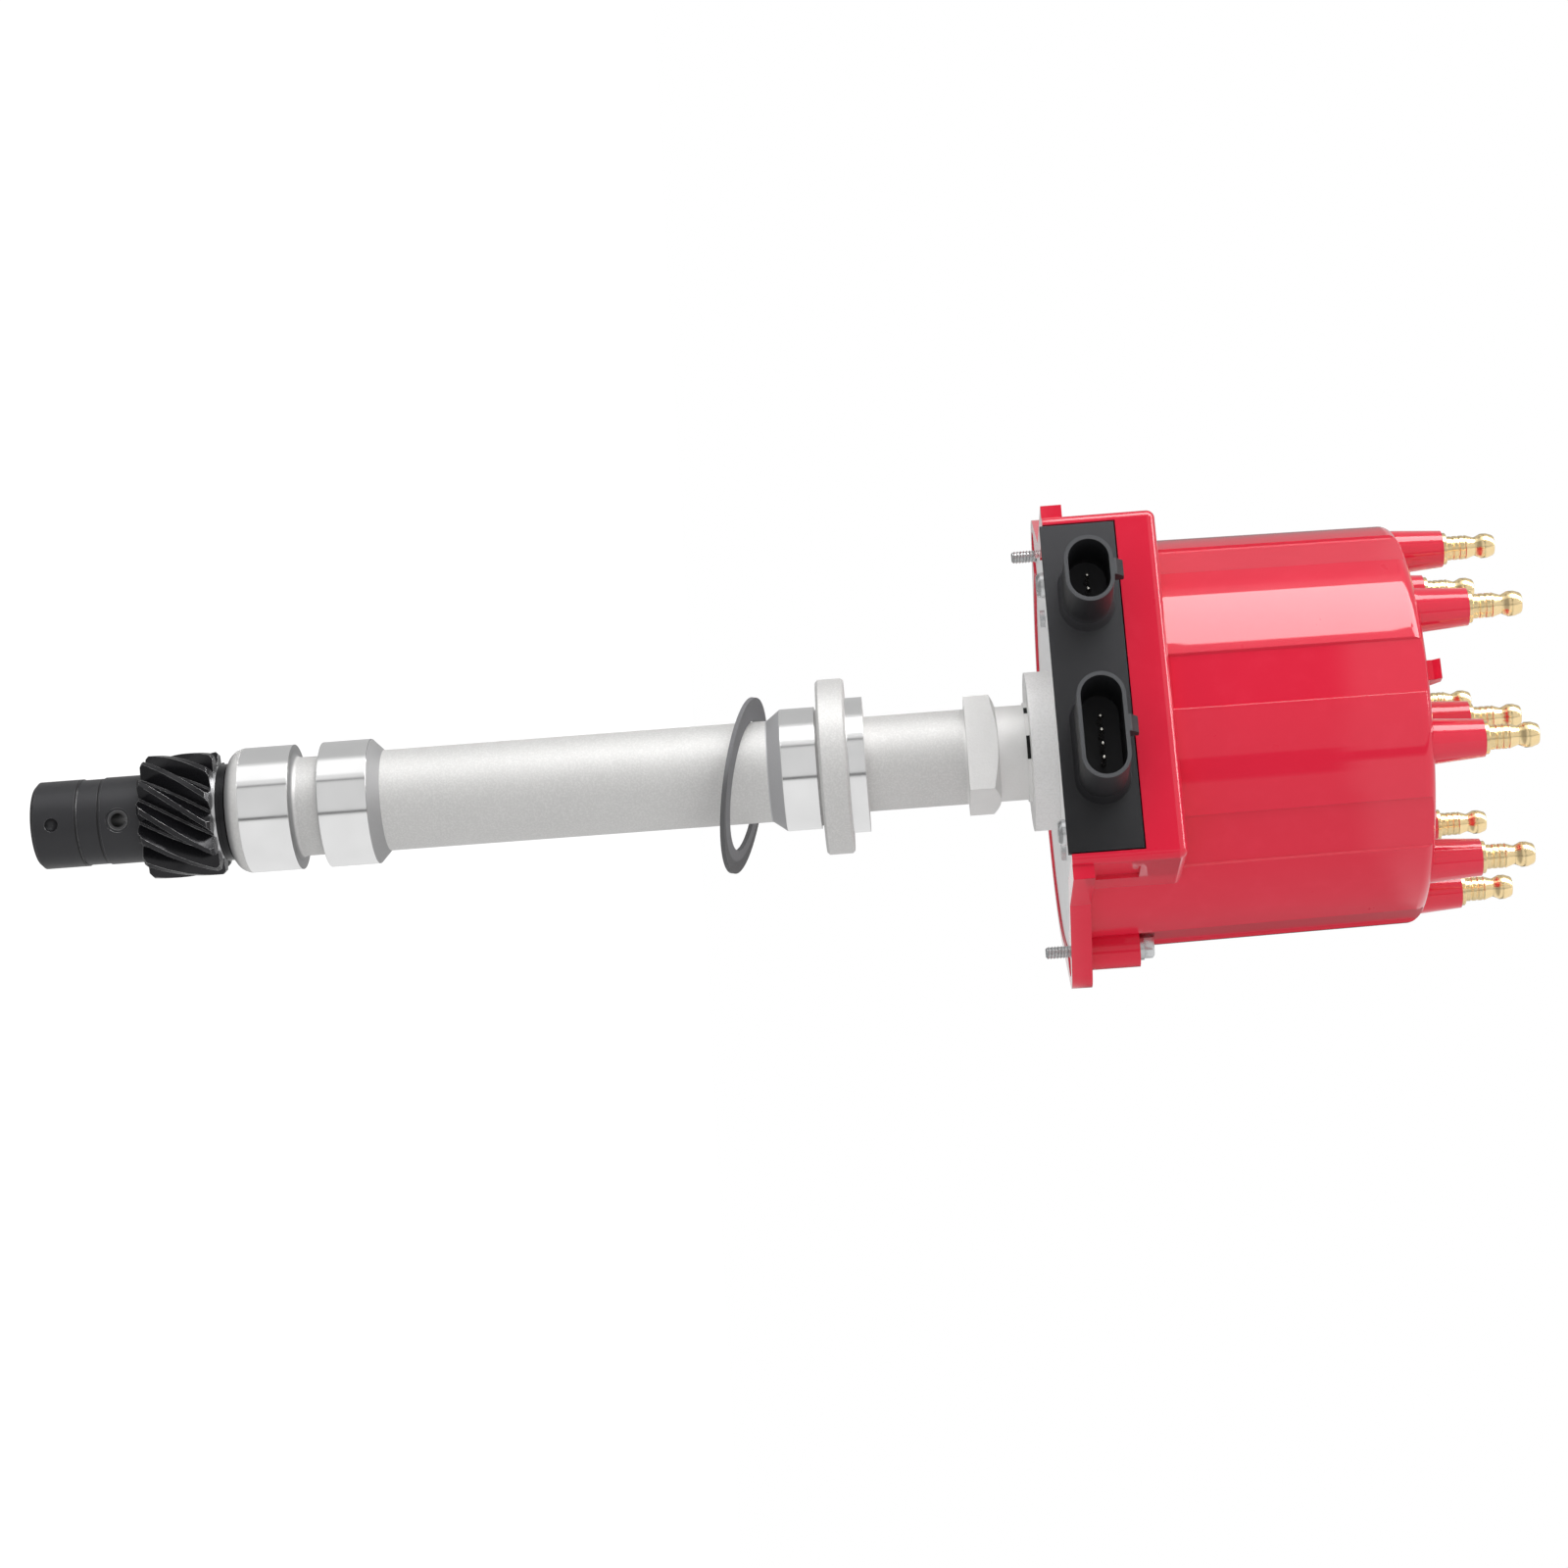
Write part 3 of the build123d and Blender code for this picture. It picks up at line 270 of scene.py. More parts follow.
def housingPaint(w):
    look = housingLook
    spot = place(w)
    x, y, z = parts(w, spot)
    radius = fromAxis(w, x, y)
    turned = 0.0
    for low, high in look["turned"]:
        turned = between(w, z, low, high) + turned
    cast = 1 - turned
    fine = noise(w, spot, 1 / look["grain"], 3.0, 0.6)
    broad = noise(w, spot, look["stainScale"], 2.0)
    colour = tint(w, turned, look["castColour"], look["turnedColour"])
    # painted light: the square and the top collar lighter than the cast metal
    head = above(w, z, look["headLevel"], 0.4) * cast
    colour = tint(w, head, colour, look["squareLightColour"])
    colour = tint(w, above(w, z, look["collarLevel"]), colour, look["collarLightColour"])
    colour = tint(w, spread(w, broad, *look["stainShare"]), colour, look["stain"])
    grains = spread(w, above(w, fine, 0.5, 0.22), *look["grainShare"]) * cast
    colour = tint(w, grains, colour, look["grainColour"])
    # painted shade: faces that look along the shaft, low on the housing, darker
    facing = parts(w, w.node("ShaderNodeNewGeometry", out="Normal"))[2]
    low = 1 - above(w, z, look["endsBelow"], 0.5)
    ends = above(w, facing * facing, 0.35, 0.25) * low
    colour = tint(w, ends * look["endShadeShare"], colour, look["endShadeColour"])
    # painted shade: the cone under the pilot darker
    colour = tint(w, between(w, z, *look["dark"]), colour, look["coneShadeColour"])
    # painted shade: dark slots in the gap at the top collar's foot, placed by angle from the
    # viewer
    across = x * -lift.x + y * -lift.y
    towards = x * viewer.x + y * viewer.y
    turn = w.math("ARCTAN2", across, towards) * (-180 / pi)
    foot = between(w, z, *look["foot"]) * above(w, radius, look["footRadius"], 0.1)
    for start, end in look["slots"]:
        slotShade = foot * between(w, turn, start, end, 0.5)
        colour = tint(w, slotShade, colour, look["slotShadeColour"])
    rough = spread(w, fine, -0.05, 0.09) * cast + turned * look["turnedRoughness"]
    height = fine * cast + latheLines(w, z, radius) * 0.05
    return {
        "Base Color": colour,
        "Roughness": rough + cast * look["castRoughness"] + broad * 0.06,
        "Metallic": turned * (1 - look["castMetal"]) + look["castMetal"],
        "Normal": bumped(w, height, look["grainDepth"], rounded(w, 0.2)),
    }


castAluminium = finish("castAluminium", housingPaint)

# zinc: bright on the small pieces and screws, pale on the sheet under the cap

platedLook = {
    "colour": (0.62, 0.63, 0.645),
    "stain": (0.58, 0.57, 0.54),
    "roughness": (0.20, 0.34),
    "metal": 1.0,
    "grain": 0.008,
}
plateLook = {
    "colour": (0.88, 0.88, 0.885),
    "stain": (0.76, 0.76, 0.75),
    "roughness": (0.34, 0.48),
    "metal": 0.3,
    "grain": 0.0,
}


def zincPaint(look):
    def paint(w):
        spot = place(w)
        cloud = noise(w, spot, 0.16, 3.0, 0.6)
        normal = rounded(w, 0.12)
        if look["grain"]:
            normal = bumped(w, noise(w, spot, 3.0, 2.0), look["grain"], normal)
        stained = spread(w, cloud, -0.1, 0.5)
        return {
            "Base Color": tint(w, stained, look["colour"], look["stain"]),
            "Roughness": spread(w, cloud, *look["roughness"]),
            "Metallic": look["metal"],
            "Normal": normal,
        }

    return paint


platedSteel = finish("platedSteel", zincPaint(platedLook))
plateZinc = finish("plateZinc", zincPaint(plateLook))

# mottled finishes: one noise sets the colour, the gloss and the relief

mottledLooks = {
    "sealRubber": {
        "scale": 1.5, "detail": 4.0, "rough": 0.7, "depth": 0.03, "roughness": (0.5, 0.75),
        "dark": (0.018, 0.018, 0.02), "pale": (0.05, 0.05, 0.052),
    },
    "ferrite": {
        "scale": 2.5, "detail": 5.0, "rough": 0.75, "depth": 0.04, "roughness": (0.4, 0.7),
        "dark": (0.05, 0.048, 0.046), "pale": (0.11, 0.108, 0.105),
    },
    "coilFormer": {
        "scale": 4.0, "detail": 2.0, "rough": 0.5, "depth": 0.01, "roughness": (0.3, 0.45),
        "dark": (0.10, 0.045, 0.02), "pale": (0.16, 0.075, 0.03),
    },
    "rotorPlastic": {
        "scale": 3.5, "detail": 3.0, "rough": 0.7, "depth": 0.015, "roughness": (0.32, 0.5),
        "dark": (0.016, 0.016, 0.018), "pale": (0.04, 0.04, 0.043), "edge": 0.2,
    },
    "carbon": {
        "scale": 3.0, "detail": 5.0, "rough": 0.75, "depth": 0.02, "roughness": (0.45, 0.7),
        "dark": (0.018, 0.018, 0.019), "pale": (0.06, 0.06, 0.062),
    },
    "tinnedBrass": {
        "scale": 1.2, "detail": 3.0, "rough": 0.5, "depth": 0.01, "roughness": (0.18, 0.34),
        "dark": (0.78, 0.76, 0.70), "pale": (0.62, 0.60, 0.55), "metal": 1.0,
    },
}


def mottledPaint(look):
    def paint(w):
        grain = noise(w, place(w), look["scale"], look["detail"], look["rough"])
        normal = rounded(w, look["edge"]) if "edge" in look else None
        return {
            "Base Color": tint(w, grain, look["dark"], look["pale"]),
            "Roughness": spread(w, grain, *look["roughness"]),
            "Metallic": look.get("metal", 0.0),
            "Normal": bumped(w, grain, look["depth"], normal),
        }

    return paint


mottled = {name: finish(name, mottledPaint(look)) for name, look in mottledLooks.items()}

# porous bronze, and the core's stacked sheets

bronzeLook = {
    "colour": (0.62, 0.40, 0.20),
    "poreColour": (0.20, 0.12, 0.06),
    "roughness": (0.28, 0.6),
    "depth": 0.02,
}


def bronzePaint(w):
    look = bronzeLook
    spot = place(w)
    x, y, z = parts(w, spot)
    pores = above(w, noise(w, spot, 2.2, 3.0, 0.7), 0.62, 0.05)
    height = 1 - pores * 0.6 + latheLines(w, z, fromAxis(w, x, y)) * 0.3
    return {
        "Base Color": tint(w, pores, look["colour"], look["poreColour"]),
        "Roughness": spread(w, pores, *look["roughness"]),
        "Normal": bumped(w, height, look["depth"]),
    }


coreLook = {
    "colour": (0.42, 0.41, 0.40),
    "stain": (0.25, 0.235, 0.22),
    "roughness": (0.3, 0.5),
    "sheet": 0.5,  # thickness of a sheet, roughly
    "depth": 0.06,
}


def corePaint(w):
    look = coreLook
    spot = place(w)
    level = parts(w, spot)[2]
    sheets = noise(w, joined(w, 0.0, 0.0, level), 1 / look["sheet"], 1.0)
    cloud = noise(w, spot, 0.4, 3.0)
    return {
        "Base Color": tint(w, cloud, look["colour"], look["stain"]),
        "Roughness": spread(w, cloud, *look["roughness"]),
        "Normal": bumped(w, sheets, look["depth"]),
    }


bronze = finish("bronze", bronzePaint, Metallic=1.0)
coreSteel = finish("coreSteel", corePaint, Metallic=1.0)

# drive gear: oil-black teeth over a charcoal hub

gearLook = {
    "hubTop": -173.1,
    "hubColour": (0.034, 0.034, 0.037),
    "hubRoughness": 0.40,
    "toothColour": (0.012, 0.012, 0.014),
    "toothRoughness": 0.20,
    "lines": [-189.9, -184.2],  # fine grooves round the hub, with painted shade in them
    "lineHalf": 0.18,
    "grooveShadeColour": (0.008, 0.008, 0.008),
    "wornColour": (0.55, 0.55, 0.55),
    "wornShare": (0.35, 0.85),  # on the hub's edges and on the teeth's
    "metal": (0.4, 0.9),  # where sound and where worn
}


def gearPaint(w):
    look = gearLook
    spot = place(w)
    x, y, z = parts(w, spot)
    teeth = above(w, z, look["hubTop"], 0.1)
    cloud = noise(w, spot, 0.35, 3.0, 0.6)
    worn = edges(w, 0.16) * above(w, cloud, 0.45, 0.12)
    turning = latheLines(w, z, fromAxis(w, x, y), 0.2)
    groove = 0.0
    for level in look["lines"]:
        low, high = level - look["lineHalf"], level + look["lineHalf"]
        groove = between(w, z, low, high, 0.08) + groove
    colour = tint(w, teeth, look["hubColour"], look["toothColour"])
    # painted shade: the hub's grooves darker
    colour = tint(w, groove * 0.8, colour, look["grooveShadeColour"])
    wornShare = worn * spread(w, teeth, *look["wornShare"])
    colour = tint(w, wornShare, colour, look["wornColour"])
    rough = spread(w, teeth, look["hubRoughness"], look["toothRoughness"])
    height = turning * (1 - teeth) + cloud * 0.2 - groove * 6.0
    return {
        "Base Color": colour,
        "Roughness": rough + spread(w, cloud, -0.04, 0.10),
        "Metallic": spread(w, worn, *look["metal"]),
        "Normal": bumped(w, height, 0.02, rounded(w, 0.12)),
    }


pinLook = {
    "level": -179.0,  # where the pin is hollow, and round the shaft in degrees
    "turn": -74.0,
    "bore": 1.9,
    # painted shade: the hollow pin's inside, near black
    "boreShadeColour": (0.006, 0.006, 0.006),
    "dark": (0.06, 0.06, 0.062),
    "pale": (0.12, 0.12, 0.122),
    "edgeColour": (0.55, 0.55, 0.55),
    "roughness": (0.3, 0.5),
    "metal": (0.8, 0.0),
}


def pinPaint(w):
    look = pinLook
    spot = place(w)
    x, y, z = parts(w, spot)
    turn = radians(look["turn"])
    across = y * cos(turn) - x * sin(turn)
    # painted shade: the pin's bore near black and not metallic
    bore = 1 - above(w, fromAxis(w, across, z - look["level"]), look["bore"], 0.06)
    cloud = noise(w, spot, 1.5, 3.0)
    colour = tint(w, cloud, look["dark"], look["pale"])
    colour = tint(w, edges(w, 0.12) * 0.7, colour, look["edgeColour"])
    return {
        "Base Color": tint(w, bore, colour, look["boreShadeColour"]),
        "Roughness": spread(w, cloud, *look["roughness"]),
        "Metallic": spread(w, bore, *look["metal"]),
        "Normal": bumped(w, cloud, 0.01),
    }


shaftLook = {
    "colour": (0.62, 0.62, 0.63),
    "stain": (0.45, 0.45, 0.46),
    "roughness": (0.14, 0.28),
    "depth": 0.006,
}


def shaftPaint(w):
    look = shaftLook
    spot = place(w)
    x, y, z = parts(w, spot)
    lines = latheLines(w, z, fromAxis(w, x, y))
    cloud = noise(w, spot, 0.2, 3.0)
    return {
        "Base Color": tint(w, cloud, look["colour"], look["stain"]),
        "Roughness": spread(w, cloud, *look["roughness"]),
        "Normal": bumped(w, lines, look["depth"], rounded(w, 0.12)),
    }


thrustLook = {
    "dark": (0.012, 0.012, 0.013),
    "pale": (0.03, 0.03, 0.032),
    "roughness": (0.22, 0.4),
    "depth": 0.01,
}


def thrustPaint(w):  # rings on the flat faces
    look = thrustLook
    x, y, z = parts(w, place(w))
    lines = latheLines(w, fromAxis(w, x, y), z)
    return {
        "Base Color": tint(w, lines, look["dark"], look["pale"]),
        "Roughness": spread(w, lines, *look["roughness"]),
        "Normal": bumped(w, lines, look["depth"], rounded(w, 0.15)),
    }


gearIron = finish("gearIron", gearPaint)
pinSteel = finish("pinSteel", pinPaint)
groundSteel = finish("groundSteel", shaftPaint, Metallic=1.0)
thrustSteel = finish("thrustSteel", thrustPaint, Metallic=0.8)

# moulded plastics

capLook = {
    "colour": (0.760, 0.014, 0.048),
    "deep": (0.710, 0.010, 0.040),
    "pale": (0.780, 0.021, 0.058),
    "paleShare": 0.3,
    "roughness": (0.24, 0.36),  # under the clear gloss
    "ripple": 0.006,  # moulding unevenness, deep
    "edge": 0.3,
}


def capPaint(w):
    look = capLook
    spot = place(w)
    flow = noise(w, spot, 0.05, 3.0, 0.55)
    swirl = noise(w, spot, 0.16, 4.0, 0.6)
    ripple = noise(w, spot, 0.22, 2.0)
    colour = tint(w, flow, look["colour"], look["deep"])
    streaks = above(w, swirl, 0.60, 0.12) * look["paleShare"]
    return {
        "Base Color": tint(w, streaks, colour, look["pale"]),
        "Roughness": spread(w, swirl, *look["roughness"]),
        "Normal": bumped(w, ripple, look["ripple"], rounded(w, look["edge"])),
    }


moduleLook = {
    "rim": 73.05,
    "rimHighlightColour": (0.068, 0.070, 0.075),  # painted highlight: the sockets' rims lighter, where they catch the light
    "face": 59.0,  # the flat face lies behind this depth
    "wide": 84.0,
    "pale": (0.044, 0.044, 0.048),  # painted sheen: the face's colour at its lighter end
    "dark": (0.008, 0.008, 0.0095),  # and at the other
    "socketDark": (0.014, 0.0145, 0.0165),
    "socketPale": (0.021, 0.0215, 0.0245),
    "roughness": (0.46, 0.62),
    "spark": 0.025,  # depth of the spark-eroded mould texture
}


def modulePaint(w):
    look = moduleLook
    spot = place(w)
    x, y = parts(w, spot)[:2]
    spark = noise(w, spot, 6.0, 3.0, 0.7)
    cloud = noise(w, spot, 0.12, 2.0)
    # painted sheen: the flat face lighter towards -x, up in the picture, and darker towards +x
    sheenFade = 0.5 - x / look["wide"] + (cloud - 0.5) * 0.2
    sheen = tint(w, sheenFade, look["dark"], look["pale"])
    colour = tint(w, cloud, look["socketDark"], look["socketPale"])
    colour = tint(w, above(w, 0.0 - y, look["face"], 0.5), sheen, colour)
    # painted highlight: the sockets' rims lighter
    rim = above(w, 0.0 - y, look["rim"], 0.08)
    return {
        "Base Color": tint(w, rim, colour, look["rimHighlightColour"]),
        "Roughness": spread(w, spark, *look["roughness"]),
        "Normal": bumped(w, spark, look["spark"], rounded(w, 0.2)),
    }


capGloss = {"Coat_Weight": 1.0, "Coat_Roughness": 0.03, "Specular_IOR_Level": 0.15}
capRed = finish("capRed", capPaint, **capGloss)
moduleBlack = finish("moduleBlack", modulePaint, Specular_IOR_Level=0.35)

# brass, gasket fibre and the heat plate

brassLook = {
    "colour": (1.0, 0.80, 0.47),
    "deep": (0.94, 0.70, 0.36),
    "roughness": (0.14, 0.30),
    "depth": 0.012,
}


def brassPaint(w):
    look = brassLook
    spot = place(w)
    lines = latheLines(w, parts(w, spot)[2], 0.0, 0.15)
    cloud = noise(w, spot, 0.5, 3.0)
    return {
        "Base Color": tint(w, cloud, look["colour"], look["deep"]),
        "Roughness": spread(w, lines, *look["roughness"]),
        "Normal": bumped(w, lines, look["depth"], rounded(w, 0.12)),
    }


fibreLook = {
    "dark": (0.13, 0.13, 0.135),
    "pale": (0.22, 0.22, 0.23),
    "edgeColour": (0.10, 0.10, 0.103),  # the cut edge, outside this radius
    "edge": 22.2,
    "roughness": (0.6, 0.85),
    "depth": 0.06,
}


def fibrePaint(w):
    look = fibreLook
    spot = place(w)
    x, y = parts(w, spot)[:2]
    fibres = noise(w, spot, 1.6, 6.0, 0.75)
    colour = tint(w, fibres, look["dark"], look["pale"])
    edge = above(w, fromAxis(w, x, y), look["edge"], 0.4)
    return {
        "Base Color": tint(w, edge, colour, look["edgeColour"]),
        "Roughness": spread(w, fibres, *look["roughness"]),
        "Normal": bumped(w, fibres, look["depth"]),
    }


heatPlateLook = {
    "colour": (0.72, 0.72, 0.73),
    "deep": (0.58, 0.58, 0.60),
    "stretch": 0.05,  # how much longer than wide the brushing is
    "roughness": (0.25, 0.42),
    "depth": 0.012,
}


def heatPlatePaint(w):
    look = heatPlateLook
    x, y, z = parts(w, place(w))
    brushed = noise(w, joined(w, x * look["stretch"], y, z), 2.5, 3.0)
    return {
        "Base Color": tint(w, brushed, look["colour"], look["deep"]),
        "Roughness": spread(w, brushed, *look["roughness"]),
        "Normal": bumped(w, brushed, look["depth"]),
    }


terminalBrass = finish("terminalBrass", brassPaint, Metallic=1.0)
gasketFibre = finish("gasketFibre", fibrePaint)
heatPlate = finish("heatPlate", heatPlatePaint, Metallic=1.0)

dress(castAluminium, "housing")
dress(plateZinc, "base_plate")
dress(platedSteel, "pickup_bracket", "plate_rivets", "pickup_clip")
dress(platedSteel, "cap_washers", "rotor_screws", "rotor_carrier")
dress(bronze, "lower_bushing", "upper_bushing")
dress(mottled["sealRubber"], "upper_seal", "pickup_lead")
dress(mottled["ferrite"], "magnet_ring")
dress(mottled["coilFormer"], "pickup_coil")
dress(coreSteel, "pole_piece", "timer_core")
dress(gearIron, "drive_gear")
dress(groundSteel, "main_shaft", "shim_washer")
dress(pinSteel, "roll_pin")
dress(thrustSteel, "lower_thrust_washer", "upper_thrust_washer")
dress(heatPlate, "module_heat_plate")
dress(moduleBlack, "ignition_module")
dress(capRed, "cap")
dress(mottled["rotorPlastic"], "rotor")
dress(terminalBrass, "rotor_blade", "contact_spring")
dress(mottled["carbon"], "carbon_brush")
dress(gasketFibre, "mounting_gasket")
print("finishes set")

# turned shapes, repeated by Geometry Nodes

def turnedBody(name, profile, sides=24):  # radius, level and, where the ring is a hexagon, True
    mesh = bmesh.new()
    rings = []
    for radius, level, *hexed in profile:
        ring = []
        for step in range(sides if radius else 1):
            turn = 2 * pi * step / sides
            flat = cos(turn % (pi / 3) - pi / 6) if hexed else 1
            reach = radius * mm / flat
            ring.append(mesh.verts.new((reach * cos(turn), reach * sin(turn), level * mm)))
        rings.append(ring)
    for low, high in zip(rings, rings[1:]):
        for step in range(sides):
            after = (step + 1) % sides
            if len(low) == 1:
                mesh.faces.new((low[0], high[after], high[step]))
            elif len(high) == 1:
                mesh.faces.new((low[step], low[after], high[0]))
            else:
                mesh.faces.new((low[step], low[after], high[after], high[step]))
    made = bpy.data.meshes.new(name)
    mesh.to_mesh(made)
    mesh.free()
    return linked(name, made)


def soften(mesh):  # smooth, but for its sharp corners
    mesh.shade_smooth()
    mesh.set_sharp_from_angle(angle=radians(35))


def sprout(name, **inputs):  # a new tree with named inputs
    tree = bpy.data.node_groups.new(name, "GeometryNodeTree")
    for key, kind in inputs.items():
        tree.interface.new_socket(key, in_out="INPUT", socket_type="NodeSocket" + kind)
    tree.interface.new_socket("Geometry", in_out="OUTPUT", socket_type="NodeSocketGeometry")
    w = Wire(tree)
    start = w.node("NodeGroupInput").socket.node.outputs
    return w, {key: Wire(tree, start[key]) for key in inputs}


def shapeOf(w, piece):
    return w.node("GeometryNodeObjectInfo", None, {"Object": piece}, "Geometry")


def shifted(w, shape, how, amount):
    return w.node("GeometryNodeTransform", None, {0: shape, how: joined(w, 0.0, 0.0, amount)})


def coil(w, given, height, thick, steps, sides):  # a wire wound round the axis
    turns = {"Resolution": steps, "Rotations": given["Turns"], "Height": height}
    turns.update({"Start Radius": given["Radius"], "End Radius": given["Radius"]})
    spiral = w.node("GeometryNodeCurveSpiral", None, turns)
    level = w.node("GeometryNodeSetCurveNormal", {"mode": "Z_UP"}, {0: spiral})
    outline = {"Resolution": sides, "Radius": thick}
    section = w.node("GeometryNodeCurvePrimitiveCircle", None, outline)
    sweep = {"Curve": level, "Profile Curve": section, "Fill Caps": True}
    wound = w.node("GeometryNodeCurveToMesh", None, sweep)
    return shifted(w, wound, "Translation", given["Foot"])


def planted(w, points, shape):
    inputs = {"Points": points, "Instance": shape}
    return w.node("GeometryNodeInstanceOnPoints", None, inputs)


def inRow(w, given, shape):
    row = {"Count": given["Count"], "Start Location": given["Start"], "Offset": given["Step"]}
    return planted(w, w.node("GeometryNodeMeshLine", None, row), shape)


def ripen(w, placed, material):  # instances made real, with their material
    real = w.node("GeometryNodeRealizeInstances", None, {0: placed})
    covered = {"Geometry": real, "Material": material}
    dressed = w.node("GeometryNodeSetMaterial", None, covered)
    w.node("NodeGroupOutput", None, {0: dressed})
    return w.tree


def grow(name, tree, values, covers):
    carrier = linked(name, bpy.data.meshes.new(name + "Seed"))
    modifier = carrier.modifiers.new("grow", "NODES")
    modifier.node_group = tree
    for item in tree.interface.items_tree:
        if item.in_out == "INPUT":
            modifier[item.identifier] = values[item.name]
    graph = bpy.context.evaluated_depsgraph_get()
    plain = bpy.data.meshes.new_from_object(carrier.evaluated_get(graph))
    piece = linked(name, plain)
    bpy.data.objects.remove(carrier)
    soften(plain)
    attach(piece, "housing")
    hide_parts(*covers)
    return piece


# a threaded screw on each point of a straight row

screwInputs = {
    "Body": "Object",
    "Radius": "Float",
    "Ridge": "Float",
    "Pitch": "Float",
    "Turns": "Float",
    "Foot": "Float",
    "Count": "Int",
    "Start": "Vector",
    "Step": "Vector",
}


def screwTree(name, material):
    w, given = sprout(name, **screwInputs)
    body = shapeOf(w, given["Body"])
    thread = coil(w, given, given["Turns"] * given["Pitch"], given["Ridge"], 16, 4)
    screw = w.node("GeometryNodeJoinGeometry", None, {0: [body, thread]})
    return ripen(w, inRow(w, given, screw), material)


def growScrews(name, profile, look, node):
    body = turnedBody(name + "Body", profile)
    values = {
        "Body": body,
        "Radius": (look["radius"] - look["ridge"]) * mm,
        "Ridge": look["ridge"] * mm,
        "Pitch": look["pitch"] * mm,
        "Turns": look["turns"],
        "Foot": look["foot"] * mm,
        "Count": 2,
        "Start": (-look["apart"] / 2 * mm, look["line"] * mm, 0.0),
        "Step": (look["apart"] * mm, 0.0, 0.0),
    }
    grow(name, screwTree(name, platedSteel), values, [node])
    bpy.data.objects.remove(body)


capScrewLook = {
    "radius": 1.6,
    "ridge": 0.22,  # height of the thread
    "pitch": 0.8,
    "turns": 15.0,
    "foot": 53.3,  # level at which the thread starts
    "apart": 105.2,
    "line": 0.0,
    "end": 52.8,
    "chamfer": 0.35,
    "neck": 66.2,  # the plain shank starts here
    "neckRun": 0.25,
    "seat": 77.2,
    "flat": 2.7,  # half the width across the head's flats
    "top": 79.8,
    "crown": (0.25, 0.5),  # the head's upper corner: in, and down
}


def growCapScrews():
    look = capScrewLook
    core = look["radius"] - look["ridge"]
    chamfer, (inset, drop) = look["chamfer"], look["crown"]
    profile = [
        (0, look["end"]),
        (core - chamfer, look["end"]),
        (core, look["end"] + chamfer),
        (core, look["neck"] - look["neckRun"]),
        (look["radius"], look["neck"]),
        (look["radius"], look["seat"]),
        (look["flat"], look["seat"], True),
        (look["flat"], look["top"] - drop, True),
        (look["flat"] - inset, look["top"]),
        (0, look["top"]),
    ]
    growScrews("capScrews", profile, look, "cap_screws")


moduleScrewLook = {
    "radius": 2.0,
    "ridge": 0.25,
    "pitch": 0.9,
    "turns": 4.0,
    "foot": 60.0,
    "apart": 63.0,
    "line": -37.0,
    "face": 56.7,
    "seat": 59.3,
    "head": 3.2,
    "crown": [(0.8, 0.0), (0.2, 0.5), (0.0, 1.1)],  # the head's round: in, and down
    "socket": 1.25,  # half its width across flats
    "depth": 1.4,
    "chamfer": 0.4,
}


def growModuleScrews():
    look = moduleScrewLook
    core = look["radius"] - look["ridge"]
    face, floor = look["face"], look["face"] + look["depth"]
    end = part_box("module_screws")[1][2] / mm
    profile = [(0, floor), (look["socket"], floor, True), (look["socket"], face, True)]
    profile += [(look["head"] - inset, face + drop) for inset, drop in look["crown"]]
    profile += [
        (look["head"], look["seat"]),
        (core, look["seat"]),
        (core, end - look["chamfer"]),
        (core - look["chamfer"], end),
        (0, end),
    ]
    growScrews("moduleScrews", profile, look, "module_screws")


growCapScrews()
growModuleScrews()

# turned terminals: eight on a circle and one in the middle

terminalLook = {
    "circle": 43.5,
    "first": 22.5,  # degrees
    "count": 8,
    "sides": 30,
    "plug": {"shoulder": 159.8, "studEnd": 129.4, "foot": 117.4, "footRadius": 3.2},
    "coil": {"shoulder": 164.3, "studEnd": 143.65, "foot": 142.15, "footRadius": 2.5},
    "chamfer": 0.3,
    "stud": 2.2,
    "collar": 4.0,
    "collarEdge": 0.15,
    "collarTop": 1.1,  # this height and those below are over the shoulder
    "barrel": 3.0,
    "barrelTop": 6.4,
    "grooves": [2.4, 3.9, 5.4],
    "grooveDepth": 0.14,
    "grooveEdge": 0.15,
    "grooveWide": 0.55,
    "waist": 2.35,
    "waistAt": (8.0, 8.4),
    "bulb": 3.08,
    "bulbAt": (9.9, 11.3),
    "tip": 2.45,
    "top": 13.1,
    "dimple": 0.8,
    "dimpleDepth": 0.5,
}


